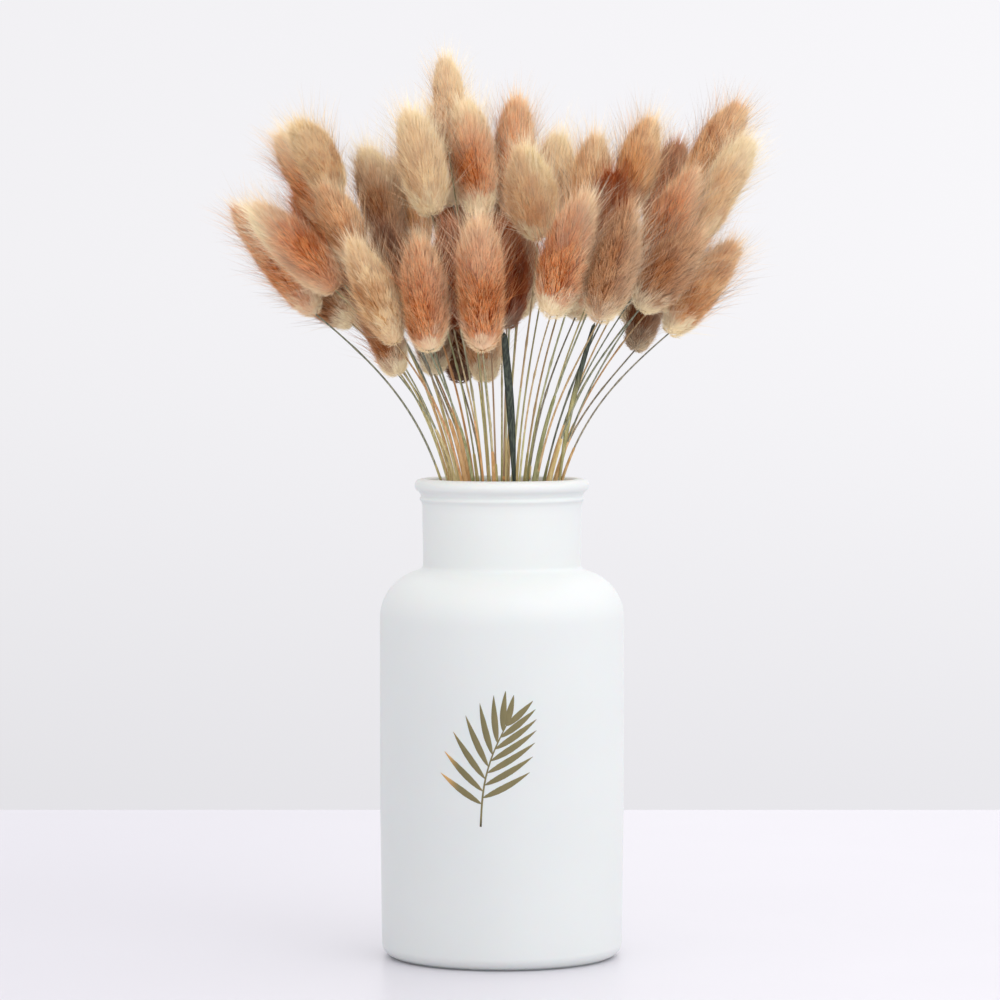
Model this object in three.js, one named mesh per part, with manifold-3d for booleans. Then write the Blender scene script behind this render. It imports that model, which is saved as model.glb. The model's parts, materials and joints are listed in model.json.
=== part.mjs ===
// Dried bunny tail grass standing in a milky glass vase, in millimetres with +Z up.
// The origin is the middle of the vase's underside, +X is to the right and -Y is the front.
//
// Each furry head is a solid of its own, covered in tufts. The stems are gathered in eight
// bundles, one for each eighth of the vase, and the cut ends of a bundle are wedged together
// in a low clump, which stands on the floor of the vase.
import * as THREE from "three";
import { mergeVertices } from "three/addons/utils/BufferGeometryUtils.js";
import Module from "manifold-3d";

// Driving dimensions of the vase
const VASE_HEIGHT = 199;
const BODY_RADIUS = 50.8;
const BASE_RADIUS = 50;
const FOOT_RADIUS = 46;
const BASE_CORNER = 5;
const SHOULDER_RADIUS = 20;
const SHOULDER_TOP = 161;
const NECK_FILLET = 2.6;
const NECK_RADIUS = 32.8;
const LIP_RADIUS = 36.3;
const LIP_HEIGHT = 5.6;
const BEAD_RADIUS = 34.2;
const BEAD_HEIGHT = 3.2;
const MOUTH_RADIUS = 30.5;
const GLASS_WALL = 3;
const GLASS_FLOOR = 6;
const VASE_SIDES = 40;

// Driving dimensions of the stems
const STEM_RADIUS = 0.7;
const STEM_SIDES = 4;
const STEM_STEPS = 6;
const ROOT_STEPS = 3;
const RIM_RADIUS = 28.6; // the widest ring in which a stem passes the mouth
const FAN_DEPTH = 41; // how far below the mouth the stems would meet if they ran on straight
const BEND_SHARE = 0.38; // how much of a stem's length each end keeps its own direction
const UPRIGHT_SHARE = 0.5; // how far a stem at the mouth is turned upright from its chord
const ARCH_SHARE = 0.7; // how far a stem's end is turned from its head's line to an even arch
const BUNDLES = 8;
const BUNDLE_TURN = 9; // degrees by which the borders between the bundles are turned
const FOOT_CIRCLE = 24; // the radius at which the bundles stand on the glass floor
const FOOT_CROWDING = 0.5; // spread of a bundle's cut ends, as a share of that at the mouth
const CLUMP_HEIGHT = 4;
const CLUMP_SIDES = 8;
const SEAT_GAP = 0.3; // between touching solids

// Driving dimensions of the heads
const TUFT_COLUMNS = 8;
const TUFT_RINGS = 11;
const TUFT_LIFT = 0.075; // how far a tuft's end lies above its root, as a share of the head
const VALLEY_DEPTH = 0.8; // radius between the tufts, as a share of the half width
const TUFT_REACH = 1.1; // radius over the tufts, as a share of the half width that shows
const AWN_REACH = 1.35; // the same for a long tuft
const HEAD_BOW = 1.4; // how far the middle of a head rises above the line from base to tip
const CELL_GAP = 0.45; // from a tuft to the plane half way to the next head
const SMALLEST_RADIUS = 1.2;

// The front view from which the places were read: how far off the eye is, and how high
const EYE_DISTANCE = 1800;
const EYE_HEIGHT = 269;

// Colours of the heads, the stems and the glass
const TONES = {
  orange: 0xc98a5c,
  rust: 0xa2623d,
  tan: 0xcfa47c,
  cream: 0xdcc39a,
  brown: 0x9a7458,
};
const STEM_COLOUR = 0x7d7f56;
const GLASS_COLOUR = 0xe9eeee;

// The heads that the front shows, from left to right. Base x, base z, tip x and tip z are
// their places as seen on the plane of the vase's axis, then come the width, the depth of the
// base behind that plane, how much further forward the tip leans than the stem's own line,
// and the tone.
const SEEN_HEADS = [
  [-77, 267, -114, 315, 18.5, 4, 0, "orange"],
  [-62, 263, -98, 287, 17.5, 16, 0, "tan"],
  [-69, 277, -107, 314, 20, -25, 0, "orange"],
  [-65, 279, -87, 320, 18.5, 10, 0, "orange"],
  [-73, 306, -94, 344, 18.5, 8, 0, "orange"],
  [-69, 317, -86, 347, 19.5, -10, 24, "tan"],
  [-60, 288, -76, 323, 18, -16, 0, "orange"],
  [-44, 255, -65, 301, 17, -45, 0, "cream"],
  [-47, 296, -58, 338, 21, 10, 0, "tan"],
  [-34, 294, -44, 331, 18, 28, 0, "orange"],
  [-43, 242, -59, 279, 18.5, -28, 0, "brown"],
  [-40, 263, -51, 306, 18, -16, 0, "brown"],
  [-30, 252, -35, 300, 21, -48, 0, "orange"],
  [-29, 308, -40, 354, 20.5, -14, 4, "cream"],
  [-22, 334, -24, 376, 16, 6, 0, "orange"],
  [-20, 312, -29, 356, 18, 22, 0, "cream"],
  [-9, 308, -17, 359, 20.5, 0, 0, "orange"],
  [-8, 252, -10, 311, 22, -50, 0, "orange"],
  [-20, 261, -22, 308, 19, -26, 0, "rust"],
  [-28, 242, -31, 284, 17.5, 24, 0, "brown"],
  [-17, 239, -21, 281, 17.5, 44, 0, "brown"],
  [-7, 239, -9, 281, 17.5, 24, 0, "cream"],
  [5, 308, 7, 360, 19.5, 10, 0, "orange"],
  [15, 299, 8, 338, 22, -24, 22, "tan"],
  [7, 298, 0, 337, 18, 32, 0, "brown"],
  [2, 261, 1, 308, 18.5, -14, 0, "rust"],
  [20, 266, 37, 321, 21.5, -48, 0, "orange"],
  [21, 300, 24, 344, 20, 18, 0, "orange"],
  [36, 298, 40, 344, 20, -4, 0, "orange"],
  [42, 284, 47, 328, 19.5, -22, 0, "orange"],
  [40, 264, 55, 315, 21.5, -46, 0, "brown"],
  [53, 311, 63, 350, 17.5, -2, 0, "orange"],
  [63, 302, 75, 340, 17.5, 22, 0, "rust"],
  [59, 281, 82, 329, 20, -12, 0, "orange"],
  [78, 315, 101, 356, 19.5, 14, 0, "tan"],
  [82, 300, 105, 342, 18, -6, 0, "cream"],
  [57, 269, 84, 302, 20, -30, 0, "brown"],
  [69, 259, 100, 299, 18.5, -8, 0, "orange"],
  [55, 252, 70, 289, 17.5, 24, 0, "rust"],
  [68, 277, 88, 313, 17.5, 18, 0, "rust"],
];

// The heads behind those fill the rear in two rings: lean (sideways for each millimetre of
// height), height of the base, and the turns from +X at which the ring's heads stand.
const REAR_LENGTH = 46;
const REAR_WIDTH = 18;
const REAR_RINGS = [
  { lean: 0.62, height: 264, turns: [36, 62, 84, 128, 152] },
  { lean: 0.4, height: 293, turns: [54, 90, 111, 137] },
];
const REAR_TONES = ["tan", "orange", "brown", "orange", "rust"];

// Dry leaf blades that stand among the stems: top x and z, place at the mouth, depth, width
const BLADES = [
  { top: [1, 258], mouth: [5, -9], depth: -22, width: 4.8 },
  { top: [38, 262], mouth: [24, -4], depth: -10, width: 2.2 },
];
const BLADE_THICKNESS = 0.7;

const UP = new THREE.Vector3(0, 0, 1);

// A repeatable share between 0 and 1 for the given whole number.
function scatter(number) {
  const wave = Math.sin(number * 12.9898 + 4.137) * 43758.5453;
  return wave - Math.floor(wave);
}

// Moves a place seen on the axis plane along the line of sight to its own depth.
function placeAtDepth(x, z, depth) {
  const spread = 1 + depth / EYE_DISTANCE;
  return new THREE.Vector3(x * spread, depth, EYE_HEIGHT + (z - EYE_HEIGHT) * spread);
}

// Half the width of a head at the share t of its length: round below, full, slimmer at the tip.
function headProfile(t) {
  const inside = Math.min(Math.max(t, 0), 1);
  return Math.sin(Math.PI * inside ** 0.75) ** 0.42;
}

// Where the stem of a head with this base passes the mouth: on the line to the point where
// all stems would meet, but never outside the mouth.
function mouthPoint(base) {
  const share = FAN_DEPTH / (base.z - (VASE_HEIGHT - FAN_DEPTH));
  const out = new THREE.Vector2(base.x, base.y).multiplyScalar(share);
  const radius = Math.max(out.length(), 0.001);
  const kept = radius / (1 + (radius / RIM_RADIUS) ** 6) ** (1 / 6);
  out.multiplyScalar(kept / radius);
  return new THREE.Vector3(out.x, out.y, VASE_HEIGHT);
}

// The stem above the mouth: a curve that leaves upwards and arches outwards under its head.
// In an even arch both ends are turned from the chord by the same angle.
function stemCurve(mouth, end, endDirection) {
  const chord = end.clone().sub(mouth);
  const reach = chord.length() * BEND_SHARE;
  const straight = chord.normalize();
  const leaving = straight.clone().lerp(UP, UPRIGHT_SHARE).normalize();
  const mirrored = straight.clone().multiplyScalar(2 * straight.dot(leaving)).sub(leaving);
  const arriving = endDirection.clone().lerp(mirrored, ARCH_SHARE).normalize();
  return new THREE.CubicBezierCurve3(
    mouth.clone(),
    mouth.clone().addScaledVector(leaving, reach),
    end.clone().addScaledVector(arriving, -reach),
    end.clone(),
  );
}

function seenHead(row) {
  const [baseX, baseZ, tipX, tipZ, width, depth, forward, tone] = row;
  return { baseX, baseZ, tipX, tipZ, radius: width / 2, depth, forward, tone, seen: true };
}

function rearHeads() {
  const heads = [];
  const apex = VASE_HEIGHT - FAN_DEPTH;
  for (const ring of REAR_RINGS) {
    for (const turn of ring.turns) {
      const angle = THREE.MathUtils.degToRad(turn);
      const number = heads.length;
      const height = ring.height + 6 * (scatter(number + 71) - 0.5);
      const out = ring.lean * (height - apex);
      const base = new THREE.Vector3(out * Math.cos(angle), out * Math.sin(angle), height);
      const along = new THREE.Vector3(base.x, base.y, height - apex).normalize();
      const tip = base.clone().addScaledVector(along, REAR_LENGTH + 6 * (scatter(number + 5) - 0.5));
      const tone = REAR_TONES[number % REAR_TONES.length];
      heads.push({ base, tip, radius: REAR_WIDTH / 2, depth: base.y, tone, seen: false });
    }
  }
  return heads;
}

// Sets a head's base, tip, line and stem from its present depth.
function settle(head) {
  if (head.seen) {
    head.base = placeAtDepth(head.baseX, head.baseZ, head.depth);
    const rise = (head.tipZ - head.baseZ) / (head.baseZ - (VASE_HEIGHT - FAN_DEPTH));
    const tipDepth = head.depth * (1 + 0.7 * rise) - head.forward;
    head.tip = placeAtDepth(head.tipX, head.tipZ, tipDepth);
  } else {
    const shift = head.depth - head.base.y;
    head.base.y += shift;
    head.tip.y += shift;
  }
  head.line = head.tip.clone().sub(head.base);
  head.direction = head.line.clone().normalize();
  const level = new THREE.Vector3(-head.direction.y, head.direction.x, 0).normalize();
  head.bowDirection = level.clone().cross(head.direction).normalize();
  if (head.bowDirection.z < 0) {
    head.bowDirection.negate();
  }
  head.mouth = mouthPoint(head.base);
  head.stem = stemCurve(head.mouth, head.base, head.direction);
}

// A point on the slightly bowed middle line of a head.
function axisPoint(head, t) {
  const bow = HEAD_BOW * 4 * t * (1 - t);
  return head.base.clone().addScaledVector(head.line, t).addScaledVector(head.bowDirection, bow);
}

// Heads and stems need room. Pairs that are too close are pushed apart along Y, so that the
// front view stays as it was read, until none is too close or the rounds are used up.
const ROUNDS = 500;
const PUSH_SHARE = 0.35;
const STEM_SAMPLES = [0, 0.1, 0.2, 0.3, 0.4, 0.5, 0.58, 0.66, 0.74, 0.82, 0.9, 0.97];
const HEAD_SAMPLES = [0.06, 0.18, 0.32, 0.46, 0.6, 0.74, 0.88];
const HEAD_SQUEEZE = 0.84; // heads press into each other's fur by this share of their width
const STEM_BERTH = 1.2; // a stem keeps clear of another head's tufts by this share
const STEM_ROOM = 1.15;
const GREATEST_LEAN = 0.72;

function samplesOf(flower) {
  const samples = STEM_SAMPLES.map((t) => {
    const point = flower.stem.getPoint(t);
    return { x: point.x, y: point.y, z: point.z, room: STEM_ROOM, soft: false };
  });
  if (!flower.radius) {
    return samples;
  }
  for (const t of HEAD_SAMPLES) {
    const point = axisPoint(flower, t);
    const room = flower.radius * headProfile(t);
    samples.push({ x: point.x, y: point.y, z: point.z, room, soft: true });
  }
  return samples;
}

// How far two sampled flowers still have to move apart along Y, and which way.
function needOf(first, second) {
  let most = 0;
  let way = 1;
  for (const a of first) {
    for (const b of second) {
      const dx = a.x - b.x;
      const dz = a.z - b.z;
      const share = a.soft && b.soft ? HEAD_SQUEEZE : a.soft || b.soft ? STEM_BERTH : 1;
      const room = share * (a.room + b.room);
      const across = room * room - dx * dx - dz * dz;
      if (across <= 0) {
        continue;
      }
      const dy = a.y - b.y;
      const need = Math.sqrt(across) - Math.abs(dy);
      if (need > most) {
        most = need;
        way = dy >= 0 ? 1 : -1;
      }
    }
  }
  return { most, way };
}

function makeRoom(flowers) {
  for (let round = 0; round < ROUNDS; round += 1) {
    const sampled = flowers.map(samplesOf);
    const moves = flowers.map(() => 0);
    let worst = 0;
    for (let i = 0; i < flowers.length; i += 1) {
      for (let j = i + 1; j < flowers.length; j += 1) {
        const { most, way } = needOf(sampled[i], sampled[j]);
        if (most <= 0) {
          continue;
        }
        worst = Math.max(worst, most);
        moves[i] += way * most * PUSH_SHARE;
        moves[j] -= way * most * PUSH_SHARE;
      }
    }
    if (worst < 0.05) {
      return;
    }
    flowers.forEach((flower, index) => {
      if (!flower.radius) {
        return;
      }
      const limit = GREATEST_LEAN * (flower.base.z - (VASE_HEIGHT - FAN_DEPTH));
      const wanted = flower.depth + THREE.MathUtils.clamp(moves[index], -2, 2);
      flower.depth = THREE.MathUtils.clamp(wanted, -limit, limit);
      settle(flower);
    });
  }
}

// Distance from a point to the middle line of a head, taken as two straight halves.
const nearest = new THREE.Vector3();
function distanceToHead(point, head) {
  let least = Infinity;
  for (const half of head.halves) {
    half.closestPointToPoint(point, true, nearest);
    least = Math.min(least, nearest.distanceTo(point));
  }
  return least;
}

function distanceToStem(point, flower) {
  let least = Infinity;
  for (const piece of flower.stemPieces) {
    piece.closestPointToPoint(point, true, nearest);
    least = Math.min(least, nearest.distanceTo(point));
  }
  return least;
}

function linesBetween(points) {
  return points.slice(1).map((point, index) => new THREE.Line3(points[index], point));
}

// Whether a point at the given radius from a head's own line keeps clear of all neighbours.
function isClear(point, radius, head, neighbours, flowers) {
  const near = neighbours.every((other) => distanceToHead(point, other) > radius + 2 * CELL_GAP);
  const needed = STEM_RADIUS + CELL_GAP;
  return near && flowers.every((other) => other === head || distanceToStem(point, other) > needed);
}

// A head: rings of points round the bowed line. Every second point is the raised end of a
// tuft, the points between lie deep, and the next ring is staggered, so each tuft is a
// four-sided spike that leans up along the head.
function headGeometry(head, index, heads, flowers) {
  const side = new THREE.Vector3().crossVectors(head.bowDirection, head.direction).normalize();
  const neighbours = heads.filter(
    (other) => other !== head && other.middle.distanceTo(head.middle) < 75,
  );
  const points = [head.base.clone()];
  const step = 0.9 / (TUFT_RINGS - 1);
  for (let ring = 0; ring < TUFT_RINGS; ring += 1) {
    for (let column = 0; column < TUFT_COLUMNS; column += 1) {
      const raised = (ring + column) % 2 === 0;
      const number = index * 997 + ring * 31 + column;
      const lift = raised ? TUFT_LIFT * (0.8 + 0.4 * scatter(number)) : 0;
      const t = Math.min(0.025 + ring * step + lift * Math.min(1, ring), 0.985);
      const long = raised && ring > 2 && scatter(number + 400) > 0.86;
      const reach = long ? AWN_REACH : TUFT_REACH + 0.14 * (scatter(number + 200) - 0.5);
      const share = raised ? reach : VALLEY_DEPTH;
      const angle = ((column + 0.15 * (scatter(number + 600) - 0.5)) / TUFT_COLUMNS) * 2 * Math.PI;
      const out = head.bowDirection.clone().multiplyScalar(Math.cos(angle));
      out.addScaledVector(side, -Math.sin(angle));
      const middle = axisPoint(head, t);
      let radius = Math.max(head.radius * headProfile(t) * share, SMALLEST_RADIUS);
      let point = middle.clone().addScaledVector(out, radius);
      while (radius > SMALLEST_RADIUS && !isClear(point, radius, head, neighbours, flowers)) {
        radius -= 0.25;
        point = middle.clone().addScaledVector(out, radius);
      }
      points.push(point);
    }
  }
  points.push(head.tip.clone());
  const at = (ring, column) => 1 + ring * TUFT_COLUMNS + (column % TUFT_COLUMNS);
  const faces = [];
  for (let column = 0; column < TUFT_COLUMNS; column += 1) {
    faces.push(0, at(0, column + 1), at(0, column));
    faces.push(points.length - 1, at(TUFT_RINGS - 1, column), at(TUFT_RINGS - 1, column + 1));
    for (let ring = 0; ring < TUFT_RINGS - 1; ring += 1) {
      const low = at(ring, column);
      const lowNext = at(ring, column + 1);
      const high = at(ring + 1, column);
      const highNext = at(ring + 1, column + 1);
      if ((ring + column) % 2 === 0) {
        faces.push(low, lowNext, high, lowNext, highNext, high);
      } else {
        faces.push(low, lowNext, highNext, low, highNext, high);
      }
    }
  }
  return geometryFrom(points, faces);
}

function geometryFrom(points, faces) {
  const positions = points.flatMap((point) => point.toArray());
  const geometry = new THREE.BufferGeometry();
  geometry.setAttribute("position", new THREE.Float32BufferAttribute(positions, 3));
  geometry.setIndex(faces);
  geometry.computeVertexNormals();
  return geometry;
}

// A closed tube along the points. Its section has STEM_SIDES corners on an ellipse with the
// half axes that sizeAt(share) gives, the first of them along the given wide direction.
function tubeGeometry(path, sizeAt, wide) {
  const points = [];
  path.forEach((point, index) => {
    const before = path[Math.max(index - 1, 0)];
    const after = path[Math.min(index + 1, path.length - 1)];
    const along = after.clone().sub(before).normalize();
    const first = wide.clone().addScaledVector(along, -wide.dot(along)).normalize();
    const second = along.clone().cross(first);
    const [a, b] = sizeAt(index / (path.length - 1));
    for (let corner = 0; corner < STEM_SIDES; corner += 1) {
      const angle = (corner / STEM_SIDES) * 2 * Math.PI;
      const place = point.clone().addScaledVector(first, a * Math.cos(angle));
      points.push(place.addScaledVector(second, b * Math.sin(angle)));
    }
  });
  const faces = [];
  const last = (path.length - 1) * STEM_SIDES;
  for (let corner = 1; corner < STEM_SIDES - 1; corner += 1) {
    faces.push(0, corner + 1, corner);
    faces.push(last, last + corner, last + corner + 1);
  }
  for (let ring = 0; ring < path.length - 1; ring += 1) {
    for (let corner = 0; corner < STEM_SIDES; corner += 1) {
      const low = ring * STEM_SIDES + corner;
      const lowNext = ring * STEM_SIDES + ((corner + 1) % STEM_SIDES);
      faces.push(low, lowNext, lowNext + STEM_SIDES);
      faces.push(low, lowNext + STEM_SIDES, low + STEM_SIDES);
    }
  }
  return geometryFrom(points, faces);
}

// The part of a stem inside the vase, from the foot of its bundle up to the mouth.
function rootCurve(flower, foot) {
  const leaving = flower.stem.getTangent(0);
  const bend = flower.mouth.clone().addScaledVector(leaving, -14);
  return new THREE.QuadraticBezierCurve3(foot, bend, flower.mouth);
}

// All points of a stem from the foot to just below the head.
function stemPath(flower, foot) {
  const root = rootCurve(flower, foot).getPoints(ROOT_STEPS);
  const upper = flower.stem.getPoints(STEM_STEPS).slice(1);
  if (flower.radius) {
    upper[upper.length - 1].addScaledVector(flower.direction, -SEAT_GAP);
  }
  return [...root, ...upper];
}

function bundleOf(flower) {
  const turn = THREE.MathUtils.radToDeg(Math.atan2(flower.mouth.y, flower.mouth.x));
  const share = (turn - BUNDLE_TURN + 720) % 360;
  return Math.floor(share / (360 / BUNDLES));
}

const wasm = await Module();
wasm.setup();

function solidOf(geometry) {
  const bare = geometry.clone();
  bare.deleteAttribute("normal");
  bare.deleteAttribute("uv");
  const merged = mergeVertices(bare, 1e-4);
  return new wasm.Manifold(
    new wasm.Mesh({
      numProp: 3,
      vertProperties: merged.attributes.position.array,
      triVerts: new Uint32Array(merged.index.array),
    }),
  );
}

function geometryOf(solid) {
  const mesh = solid.getMesh();
  const geometry = new THREE.BufferGeometry();
  geometry.setAttribute("position", new THREE.Float32BufferAttribute(mesh.vertProperties, 3));
  geometry.setIndex([...mesh.triVerts]);
  geometry.computeVertexNormals();
  return geometry;
}

// A low clump on the glass floor that is wide enough for all the given cut ends.
function clumpGeometry(centre, feet) {
  const reach = Math.max(...feet.map((foot) => foot.distanceTo(centre))) + 2 * STEM_RADIUS;
  const profile = [
    new THREE.Vector2(0, 0),
    new THREE.Vector2(reach * 0.9, 0),
    new THREE.Vector2(reach, CLUMP_HEIGHT * 0.4),
    new THREE.Vector2(reach * 0.7, CLUMP_HEIGHT),
    new THREE.Vector2(0, CLUMP_HEIGHT),
  ];
  const geometry = new THREE.LatheGeometry(profile, CLUMP_SIDES);
  geometry.rotateX(Math.PI / 2);
  geometry.translate(centre.x, centre.y, GLASS_FLOOR + SEAT_GAP);
  return geometry;
}

// The stems and blades of one bundle, joined in the clump at its foot.
function bundleGeometry(flowers, bundle) {
  const angle = THREE.MathUtils.degToRad(BUNDLE_TURN + ((bundle + 0.5) * 360) / BUNDLES);
  const height = GLASS_FLOOR + SEAT_GAP + CLUMP_HEIGHT * 0.45;
  const centre = new THREE.Vector3(Math.cos(angle), Math.sin(angle), 0).multiplyScalar(FOOT_CIRCLE);
  centre.z = height;
  const middle = new THREE.Vector3();
  flowers.forEach((flower) => middle.addScaledVector(flower.mouth, 1 / flowers.length));
  const feet = flowers.map((flower) => {
    const offset = flower.mouth.clone().sub(middle).multiplyScalar(FOOT_CROWDING);
    return centre.clone().add(offset);
  });
  let joined = solidOf(clumpGeometry(centre, feet));
  flowers.forEach((flower, number) => {
    const path = stemPath(flower, feet[number]);
    const rootShare = ROOT_STEPS / (ROOT_STEPS + STEM_STEPS);
    const sizeAt = (share) => {
      if (flower.radius || share <= rootShare) {
        return [STEM_RADIUS, STEM_RADIUS];
      }
      const rise = (share - rootShare) / (1 - rootShare);
      const half = (flower.width / 2) * Math.sin(Math.PI * Math.min(0.2 + 0.75 * rise, 1));
      return [Math.max(half, 0.5), BLADE_THICKNESS / 2];
    };
    joined = joined.add(solidOf(tubeGeometry(path, sizeAt, new THREE.Vector3(1, 0, 0))));
  });
  return geometryOf(joined);
}

function bladeFlower(blade) {
  const top = placeAtDepth(blade.top[0], blade.top[1], blade.depth);
  const mouth = new THREE.Vector3(blade.mouth[0], blade.mouth[1], VASE_HEIGHT);
  const direction = top.clone().sub(mouth).normalize();
  const stem = stemCurve(mouth, top, direction);
  return { mouth, stem, direction, width: blade.width, radius: 0 };
}

// The vase: a closed profile from the middle of the underside up the outside, over the lip
// and down the inside to the middle of the glass floor, turned round Z.
function vaseProfile() {
  const profile = [];
  const arc = (centreR, centreZ, radius, from, to, steps) => {
    for (let i = 0; i <= steps; i += 1) {
      const angle = THREE.MathUtils.degToRad(from + ((to - from) * i) / steps);
      profile.push([centreR + radius * Math.cos(angle), centreZ + radius * Math.sin(angle)]);
    }
  };
  const shoulderR = BODY_RADIUS - SHOULDER_RADIUS;
  const shoulderZ = SHOULDER_TOP - SHOULDER_RADIUS;
  const lipMid = VASE_HEIGHT - LIP_HEIGHT / 2;
  const beadTop = VASE_HEIGHT - LIP_HEIGHT - 1.2;
  profile.push([0, 0], [FOOT_RADIUS, 0]);
  arc(BASE_RADIUS - BASE_CORNER, BASE_CORNER + 0.4, BASE_CORNER, -72, 0, 3);
  profile.push([BODY_RADIUS, 0.35 * VASE_HEIGHT]);
  arc(shoulderR, shoulderZ, SHOULDER_RADIUS, 0, 78, 6);
  profile.push([NECK_RADIUS + 0.7, SHOULDER_TOP + 0.1], [NECK_RADIUS, SHOULDER_TOP + NECK_FILLET]);
  profile.push([NECK_RADIUS + 0.4, beadTop - BEAD_HEIGHT]);
  profile.push([BEAD_RADIUS, beadTop - BEAD_HEIGHT * 0.7], [BEAD_RADIUS, beadTop - BEAD_HEIGHT * 0.3]);
  profile.push([NECK_RADIUS + 0.9, beadTop]);
  arc(LIP_RADIUS - 2.6, lipMid, 2.6, -60, 90, 4);
  profile.push([MOUTH_RADIUS + 0.9, VASE_HEIGHT - 0.4], [MOUTH_RADIUS, VASE_HEIGHT - 1.6]);
  profile.push([MOUTH_RADIUS - 0.4, VASE_HEIGHT - LIP_HEIGHT - 4]);
  profile.push([NECK_RADIUS - GLASS_WALL, SHOULDER_TOP + 1]);
  arc(shoulderR - 1, shoulderZ, SHOULDER_RADIUS - GLASS_WALL + 1, 80, 0, 4);
  profile.push([BODY_RADIUS - GLASS_WALL, 0.35 * VASE_HEIGHT]);
  profile.push([BASE_RADIUS - GLASS_WALL, GLASS_FLOOR + 5], [BASE_RADIUS - GLASS_WALL - 4, GLASS_FLOOR]);
  profile.push([0, GLASS_FLOOR]);
  return profile.map(([r, z]) => new THREE.Vector2(r, z));
}

function vaseGeometry() {
  const geometry = new THREE.LatheGeometry(vaseProfile(), VASE_SIDES);
  geometry.rotateX(Math.PI / 2);
  return geometry;
}

function named(name, geometry, colour, roughness) {
  const material = new THREE.MeshStandardMaterial({ color: colour, roughness, metalness: 0 });
  material.flatShading = true;
  const mesh = new THREE.Mesh(geometry, material);
  mesh.name = name;
  return mesh;
}

const heads = [...SEEN_HEADS.map(seenHead), ...rearHeads()];
heads.forEach(settle);
const flowers = [...heads, ...BLADES.map(bladeFlower)];
makeRoom(flowers);
for (const head of heads) {
  head.middle = axisPoint(head, 0.5);
  head.halves = linesBetween([axisPoint(head, 0), head.middle, axisPoint(head, 1)]);
}
for (const flower of flowers) {
  flower.stemPieces = linesBetween(flower.stem.getPoints(STEM_STEPS));
}

const bouquet = new THREE.Group();
bouquet.name = "bunny_tail_grass_in_vase";
bouquet.add(named("vase", vaseGeometry(), GLASS_COLOUR, 0.35));
for (let bundle = 0; bundle < BUNDLES; bundle += 1) {
  const members = flowers.filter((flower) => bundleOf(flower) === bundle);
  const name = `stem_bundle_${bundle + 1}`;
  bouquet.add(named(name, bundleGeometry(members, bundle), STEM_COLOUR, 0.8));
}
heads.forEach((head, index) => {
  const name = `head_${String(index + 1).padStart(2, "0")}`;
  bouquet.add(named(name, headGeometry(head, index, heads, flowers), TONES[head.tone], 0.95));
});

export default bouquet;
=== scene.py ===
# %% [markdown]
# # Dried bunny tail grass in a milky glass vase
#
# The real object is a bottle shaped vase of milky glass that holds about fifty dried stems of
# bunny tail grass. Each stem ends in a soft, furry seed head.
#
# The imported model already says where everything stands: one solid for the vase, one for each
# eighth of the stems and one for each head. This lesson reads those places and builds the
# finer surfaces around them. The frame is in metres, +Z is up and the eye looks along +Y.
# Sizes read off the vase, the leaves and the hairs are millimetres until MM makes them metres.

# %% Load the frame
import json
import math

import bpy
import numpy as np
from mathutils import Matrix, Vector


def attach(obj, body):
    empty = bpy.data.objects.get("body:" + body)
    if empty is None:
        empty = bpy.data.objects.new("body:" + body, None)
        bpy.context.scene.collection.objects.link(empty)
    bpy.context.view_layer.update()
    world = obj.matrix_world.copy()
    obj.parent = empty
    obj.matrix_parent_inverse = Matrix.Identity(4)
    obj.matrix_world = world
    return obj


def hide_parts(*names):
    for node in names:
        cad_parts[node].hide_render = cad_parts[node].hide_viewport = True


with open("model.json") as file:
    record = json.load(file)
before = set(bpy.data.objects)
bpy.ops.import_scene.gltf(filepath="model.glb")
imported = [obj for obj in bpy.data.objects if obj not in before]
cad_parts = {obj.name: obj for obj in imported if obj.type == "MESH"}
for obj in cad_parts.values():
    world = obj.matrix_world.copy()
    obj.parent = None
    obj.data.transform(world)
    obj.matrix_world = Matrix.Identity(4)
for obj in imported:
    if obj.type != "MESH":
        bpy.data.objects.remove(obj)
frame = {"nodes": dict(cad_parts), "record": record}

MM = 0.001
scene = bpy.context.scene
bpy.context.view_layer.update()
slot_of = {part["node"]: part["material_slot"] for part in frame["record"]["subparts"]}
head_names = sorted(name for name in frame["nodes"] if name.startswith("head_"))

# %% [markdown]
# ## The eye
#
# The photograph was taken from about 1.8 metres away with a long lens, a little above the
# mouth of the vase, so the rim shows as a very flat ellipse. A camera could also be fitted by
# eye with a short lens, but then the heads in front would look too large. So the distance and
# height that the rim and the foot imply are used as they are. The view transform is the plain
# one, so colours show as they were picked.

# %% Camera
EYE_DISTANCE = 1.8
EYE_HEIGHT = 0.269
EYE_AIM = Vector((-0.0008, 0.0, 0.190))
EYE_LENS = 156.0
EYE_SENSOR = 36.0


def point_at(thing, place, aim):
    """Puts a camera or a lamp at place and turns it towards aim."""
    thing.location = place
    thing.rotation_euler = (Vector(aim) - thing.location).to_track_quat("-Z", "Y").to_euler()
    scene.collection.objects.link(thing)


eye_data = bpy.data.cameras.new("eye")
eye_data.lens = EYE_LENS
eye_data.sensor_width = EYE_SENSOR
eye = bpy.data.objects.new("eye", eye_data)
point_at(eye, (0.0, -EYE_DISTANCE, EYE_HEIGHT), EYE_AIM)
scene.camera = eye
scene.view_settings.view_transform = "Standard"
slope = math.atan2(EYE_HEIGHT - EYE_AIM.z, EYE_DISTANCE)
print("eye looks down by", round(math.degrees(slope), 2), "degrees")

# %% [markdown]
# ## Helpers for meshes
#
# Every surface here is worked out as whole arrays. A tube, a lathe and a leaf are all grids of
# points, so one function gives the faces of a grid, one closes a tube with fans, and one puts
# points and faces in a mesh.

# %% Grids and meshes
TINY = 1e-12


def unit(vectors):
    """Each vector divided by its own length."""
    return vectors / np.maximum(np.linalg.norm(vectors, axis=-1, keepdims=True), TINY)


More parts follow.
